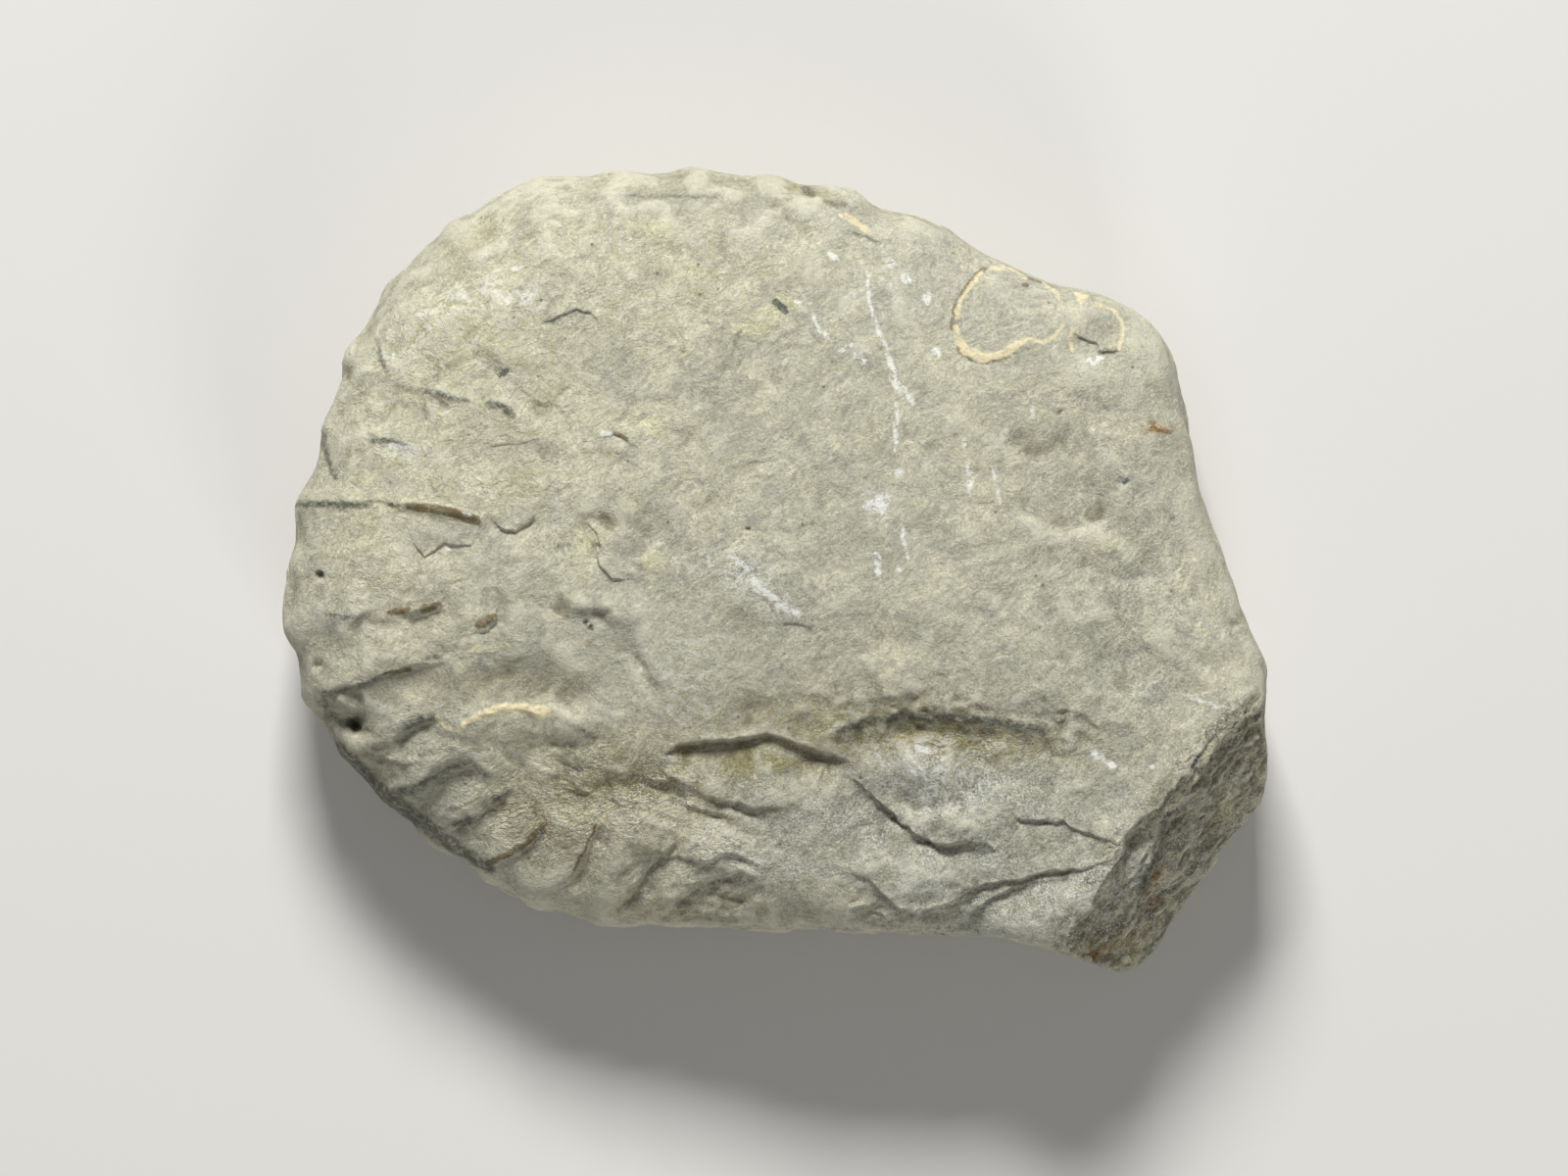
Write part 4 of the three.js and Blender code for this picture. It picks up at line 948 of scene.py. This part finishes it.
# How marks are painted: raggedness, softness of the edge, strength, least share left by wear
markLook = {
    "dark": (2.0, 0.6, 0.85, 0.35),
    "chipShade": (1.8, 0.25, 0.9, 0.75),
    "brown": (1.4, 0.25, 0.9, 0.7),
    "shell": (1.6, 0.25, 0.95, 0.45),
    "scuff": (1.9, 0.3, 0.9, 0.1),
}


def makeLimestone():
    material = bpy.data.materials.new("limestone")
    material.use_nodes = True
    material.node_tree.nodes.clear()
    add = nodeAdder(material)

    # places on the stone in millimetres, as they are and pushed about
    place = add("TexCoord").outputs["Object"]
    place = add("VectorMath", {0: place, "Scale": 1000.0}, operation="SCALE").outputs[0]
    push = add("TexNoise", {"Vector": place, "Scale": 1 / limestone["pushSize"], "Detail": 3.0})
    reach = [limestone["push"]] * 3
    pushing = {0: push.outputs["Color"], 1: reach, 2: place}
    pushed = add("VectorMath", pushing, operation="MULTIPLY_ADD").outputs[0]

    def noiseAt(size, detail, roughness, vector):
        inputs = {"Vector": vector, "Scale": 1 / size, "Detail": detail, "Roughness": roughness}
        return add("TexNoise", inputs).outputs["Fac"]

    def cloud(name, vector=pushed):
        return noiseAt(*clouds[name], vector)

    def streak(name):
        length, width, bearing, detail, roughness = streaks[name]
        inputs = {"Vector": pushed, "Rotation": (0, 0, bearing * radians), "Scale": (length, width, width)}
        return noiseAt(1.0, detail, roughness, add("Mapping", inputs, vector_type="TEXTURE").outputs[0])

    def valueOf(name):
        return add("Attribute", attribute_name=name).outputs["Fac"]

    def ramp(value, low, high, fromValue=0.0, toValue=1.0):
        inputs = {"Value": value, "From Min": low, "From Max": high, "To Min": fromValue, "To Max": toValue}
        return add("MapRange", inputs, interpolation_type="SMOOTHSTEP").outputs["Result"]

    def calc(first, second, operation="ADD"):
        return add("Math", {0: first, 1: second}, operation=operation).outputs[0]

    def times(first, second):
        return calc(first, second, "MULTIPLY")

    # how far a streaky pattern is from its middle value: 0 along thin lines
    def creasesOf(name):
        return calc(calc(streak(name), 0.5, "SUBTRACT"), 0.0, "ABSOLUTE")

    def mixed(share, below, above, kind="MIX"):
        mix = add("Mix", {0: share, 6: below, 7: above}, data_type="RGBA", blend_type=kind)
        return mix.outputs[2]

    def covered(colour, share, name):
        return mixed(share, colour, paint(limestone[name]))

    tint, cream, olive, rust, dust = (valueOf(name) for name in ("tint", "cream", "olive", "rust", "dust"))
    grain, wrinkled, layered = (valueOf(name) for name in ("grain", "wrinkled", "layered"))
    hollow, broadHollow = valueOf("hollow"), valueOf("broadHollow")

    # cream dust over grey stone, in haze, wisps and films
    haze = calc(cloud("haze"), times(streak("wisps"), 0.7))
    creaminess = calc(calc(haze, 0.85, "SUBTRACT"), times(tint, 0.22))
    colour = mixed(ramp(creaminess, -0.22, 0.22), paint(limestone["grey"]), paint(limestone["cream"]))
    filmShare = times(ramp(streak("films"), 0.53, 0.58, 0.0, 0.5), ramp(tint, -0.3, 0.7, 0.3, 1.0))
    colour = covered(colour, filmShare, "pale")
    slate = calc(cloud("slate"), times(tint, 0.05), "SUBTRACT")
    colour = covered(colour, ramp(slate, 0.545, 0.64, 0.0, 0.38), "slate")
    mossShare = times(ramp(cloud("moss"), 0.52, 0.58, 0.0, 0.6), ramp(tint, -0.2, 0.9, 0.2, 1.0))
    colour = covered(colour, mossShare, "moss")
    colour = covered(colour, ramp(calc(cream, cloud("butter")), 0.96, 1.06, 0.0, 0.62), "butter")
    colour = covered(colour, times(olive, ramp(cloud("olive"), 0.36, 0.6, 0.25, 0.9)), "olive")
    colour = covered(colour, times(rust, ramp(cloud("rust", place), 0.4, 0.58)), "rust")

    # fine mottling, wispy scratches and grain
    mottle, fine, scratches = cloud("mottle", place), cloud("fine", place), streak("scratches")
    shade = times(ramp(mottle, 0.3, 0.7, 0.87, 1.12), ramp(scratches, 0.38, 0.62, 0.89, 1.1))
    shade = times(shade, ramp(fine, 0.34, 0.66, 0.8, 1.17))
    shade = calc(shade, calc(times(grain, 0.8), 1.0), "POWER")
    banding = ramp(streak("bands"), 0.38, 0.62, -0.42, 0.36)
    shade = times(shade, calc(times(banding, layered), 1.0))
    colour = mixed(1.0, colour, add("CombineColor", {0: shade, 1: shade, 2: shade}).outputs[0], "MULTIPLY")

    # painted shade and dirt darken the hollows, and edges that stand out are worn pale with a painted
    # highlight
    paintedShadeAndDirt = calc(ramp(hollow, 0.05, 0.55, 0.0, 0.5), ramp(broadHollow, 0.5, 2.2, 0.0, 0.25), "MAXIMUM")
    colour = covered(colour, paintedShadeAndDirt, "hollow")
    colour = covered(colour, ramp(hollow, -0.05, -0.35, 0.0, 0.5), "pale")

    # bright flecks where the stone is broken open, white dust, and a few dark specks all over
    sugary = times(grain, ramp(cloud("sugar", place), 0.4, 0.6))
    flecks = times(ramp(cloud("flecks", place), 0.53, 0.64), sugary)
    colour = covered(colour, times(flecks, 0.75), "fleck")
    colour = covered(colour, times(dust, ramp(cloud("dust"), 0.49, 0.57, 0.0, 0.75)), "scuff")
    cells = add("TexVoronoi", {"Vector": place, "Scale": 1 / limestone["specks"]}).outputs["Distance"]
    colour = covered(colour, ramp(cells, 0.07, 0.04, 0.0, 0.6), "dark")

    # marks, with ragged edges and worn away in places; the dark and chip marks are mostly painted shade
    ragged = calc(cloud("ragged", place), 0.5, "SUBTRACT")
    wear = cloud("wear", place)
    for name, (raggedness, softness, strength, leastLeft) in markLook.items():
        outside = calc(valueOf(name), times(ragged, raggedness))
        share = ramp(outside, softness, -softness, 0.0, strength)
        colour = covered(colour, times(share, ramp(wear, 0.42, 0.52, leastLeft, 1.0)), name)

    # fine relief: grain that is stronger in some patches, creases, wrinkles, layers, pits and flakes
    coarse = calc(ramp(cloud("coarse"), 0.38, 0.62, 0.25, 0.8), times(grain, 1.1))
    grainRelief = times(calc(calc(times(fine, 0.6), times(mottle, 0.3)), times(scratches, 0.5)), coarse)
    creaseShare = ramp(cloud("creased", place), 0.45, 0.6, 0.0, 0.2)
    creaseRelief = times(ramp(creasesOf("creases"), 0.0, 0.03, -1.0, 0.0), creaseShare)
    wrinkleShare = times(wrinkled, ramp(cloud("wrinkled", place), 0.36, 0.6, 0.3, 0.95))
    wrinkleRelief = times(ramp(creasesOf("wrinkles"), 0.0, 0.14), wrinkleShare)
    layerRelief = times(ramp(creasesOf("layers"), 0.0, 0.16, 0.0, 1.4), layered)
    pitRelief = ramp(cloud("pits", place), 0.32, 0.42, -0.25, 0.0)
    flakes = streak("flakes")
    flakeRelief = calc(ramp(flakes, 0.44, 0.46, 0.0, 0.25), ramp(flakes, 0.54, 0.565, 0.0, 0.3))
    flakeRelief = times(flakeRelief, ramp(tint, -0.1, 0.8, 0.3, 1.2))
    relief = calc(grainRelief, calc(creaseRelief, calc(pitRelief, flakeRelief)))
    relief = calc(relief, calc(wrinkleRelief, layerRelief))
    inputs = {"Strength": limestone["bump"], "Distance": limestone["reliefDepth"], "Height": relief}
    bump = add("Bump", inputs)

    roughness = limestone["roughness"]
    surface = add("BsdfPrincipled", {
        "Base Color": colour,
        "Roughness": ramp(mottle, 0.3, 0.7, roughness + 0.08, roughness - 0.1),
        "Specular IOR Level": limestone["specular"],
        "Normal": bump.outputs[0],
    })
    add("OutputMaterial", {"Surface": surface.outputs[0]})
    return material


# The stone fills the CAD stone's box, with a hair to spare on every side but underneath
def fitToBox(points, hair=0.00005):
    low, high = (np.array(corner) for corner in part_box("ammonite_stone"))
    spare = np.array((hair, hair, 0))
    share = (points - points.min(0)) / np.ptp(points, axis=0)
    return low + spare + share * (high - hair - low - spare)


def makeStone():
    points, triangles = stoneMesh()
    print("stone shaped:", len(triangles), "triangles")
    placed = fitToBox(points)
    mesh = bpy.data.meshes.new("ammonite")
    mesh.from_pydata(placed.tolist(), [], triangles.tolist())
    mesh.shade_smooth()
    for name, lines in marks.items():
        addValues(mesh, name, outsideMarks(lines, points))
    onFlank = smoothStep(8, 24, points[:, 2])
    broken = brokenShare(points)
    for name, blobs in patches.items():
        value = blobsAt(blobs, points[:, 0], points[:, 1]) * onFlank
        if name in brokenLook:
            value += brokenLook[name] * broken
        addValues(mesh, name, value)
    addValues(mesh, "grain", np.clip(broken + blobsAt(grainy, points[:, 0], points[:, 1]), 0, 1))
    for name, rounds in hollowRounds.items():
        addValues(mesh, name, hollowness(points, triangles, rounds))
    mesh.materials.append(makeLimestone())
    stone = bpy.data.objects.new("ammonite", mesh)
    bpy.context.collection.objects.link(stone)
    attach(stone, "root")
    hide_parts("ammonite_stone")
    print("stone painted")


studio = {
    "floorColour": "d9d7d2",
    "floorSize": 3.0,
    "floorRoughness": 0.85,
    # lights: power, size, degrees round from +X, degrees up from the floor, distance
    "key": (87.0, 0.7, 95, 40, 2.6),
    "fill": (5.6, 0.5, -70, 28, 1.5),
    "skyColour": "e6e9ee",
    "skyStrength": 0.2,
}


def makeFloor():
    half = studio["floorSize"] / 2
    mesh = bpy.data.meshes.new("floor")
    corners = [(-half, -half, 0), (half, -half, 0), (half, half, 0), (-half, half, 0)]
    mesh.from_pydata(corners, [], [(0, 1, 2, 3)])
    material = bpy.data.materials.new("floor")
    material.use_nodes = True
    surface = material.node_tree.nodes["Principled BSDF"]
    surface.inputs["Base Color"].default_value = paint(studio["floorColour"])
    surface.inputs["Roughness"].default_value = studio["floorRoughness"]
    mesh.materials.append(material)
    floor = bpy.data.objects.new("floor", mesh)
    bpy.context.collection.objects.link(floor)


# A soft square light that faces the stone, placed by its bearing and height
def makeLight(name, power, size, bearing, height, distance):
    light = bpy.data.lights.new(name, "AREA")
    light.energy = power
    light.size = size
    lamp = bpy.data.objects.new(name, light)
    bearing, height = bearing * radians, height * radians
    flat = math.cos(height)
    place = (flat * math.cos(bearing), flat * math.sin(bearing), math.sin(height))
    lamp.location = [distance * part for part in place]
    lamp.rotation_euler = (math.pi / 2 - height, 0, bearing + math.pi / 2)
    bpy.context.collection.objects.link(lamp)


def makeLights():
    for name in ("key", "fill"):
        makeLight(name, *studio[name])
    world = bpy.data.worlds.new("studio")
    world.use_nodes = True
    sky = world.node_tree.nodes["Background"]
    sky.inputs["Color"].default_value = paint(studio["skyColour"])
    sky.inputs["Strength"].default_value = studio["skyStrength"]
    bpy.context.scene.world = world


# The camera looks straight down on the flank, in metres
camera = {
    "centre": (0.0020, -0.0039),
    "height": 2.4,
    "frameWidth": 0.332,    # what it takes in at the height of the stone's widest line
    "lineHeight": 0.025,
    "sensorWidth": 36,
}


def makeCamera():
    data = bpy.data.cameras.new("camera")
    data.sensor_width = camera["sensorWidth"]
    data.lens = data.sensor_width * (camera["height"] - camera["lineHeight"]) / camera["frameWidth"]
    viewer = bpy.data.objects.new("camera", data)
    viewer.location = (*camera["centre"], camera["height"])
    bpy.context.collection.objects.link(viewer)
    bpy.context.scene.camera = viewer


makeCamera()
print("camera set")
makeStone()
makeFloor()
makeLights()
bpy.context.scene.view_settings.view_transform = "Standard"
print("studio made")
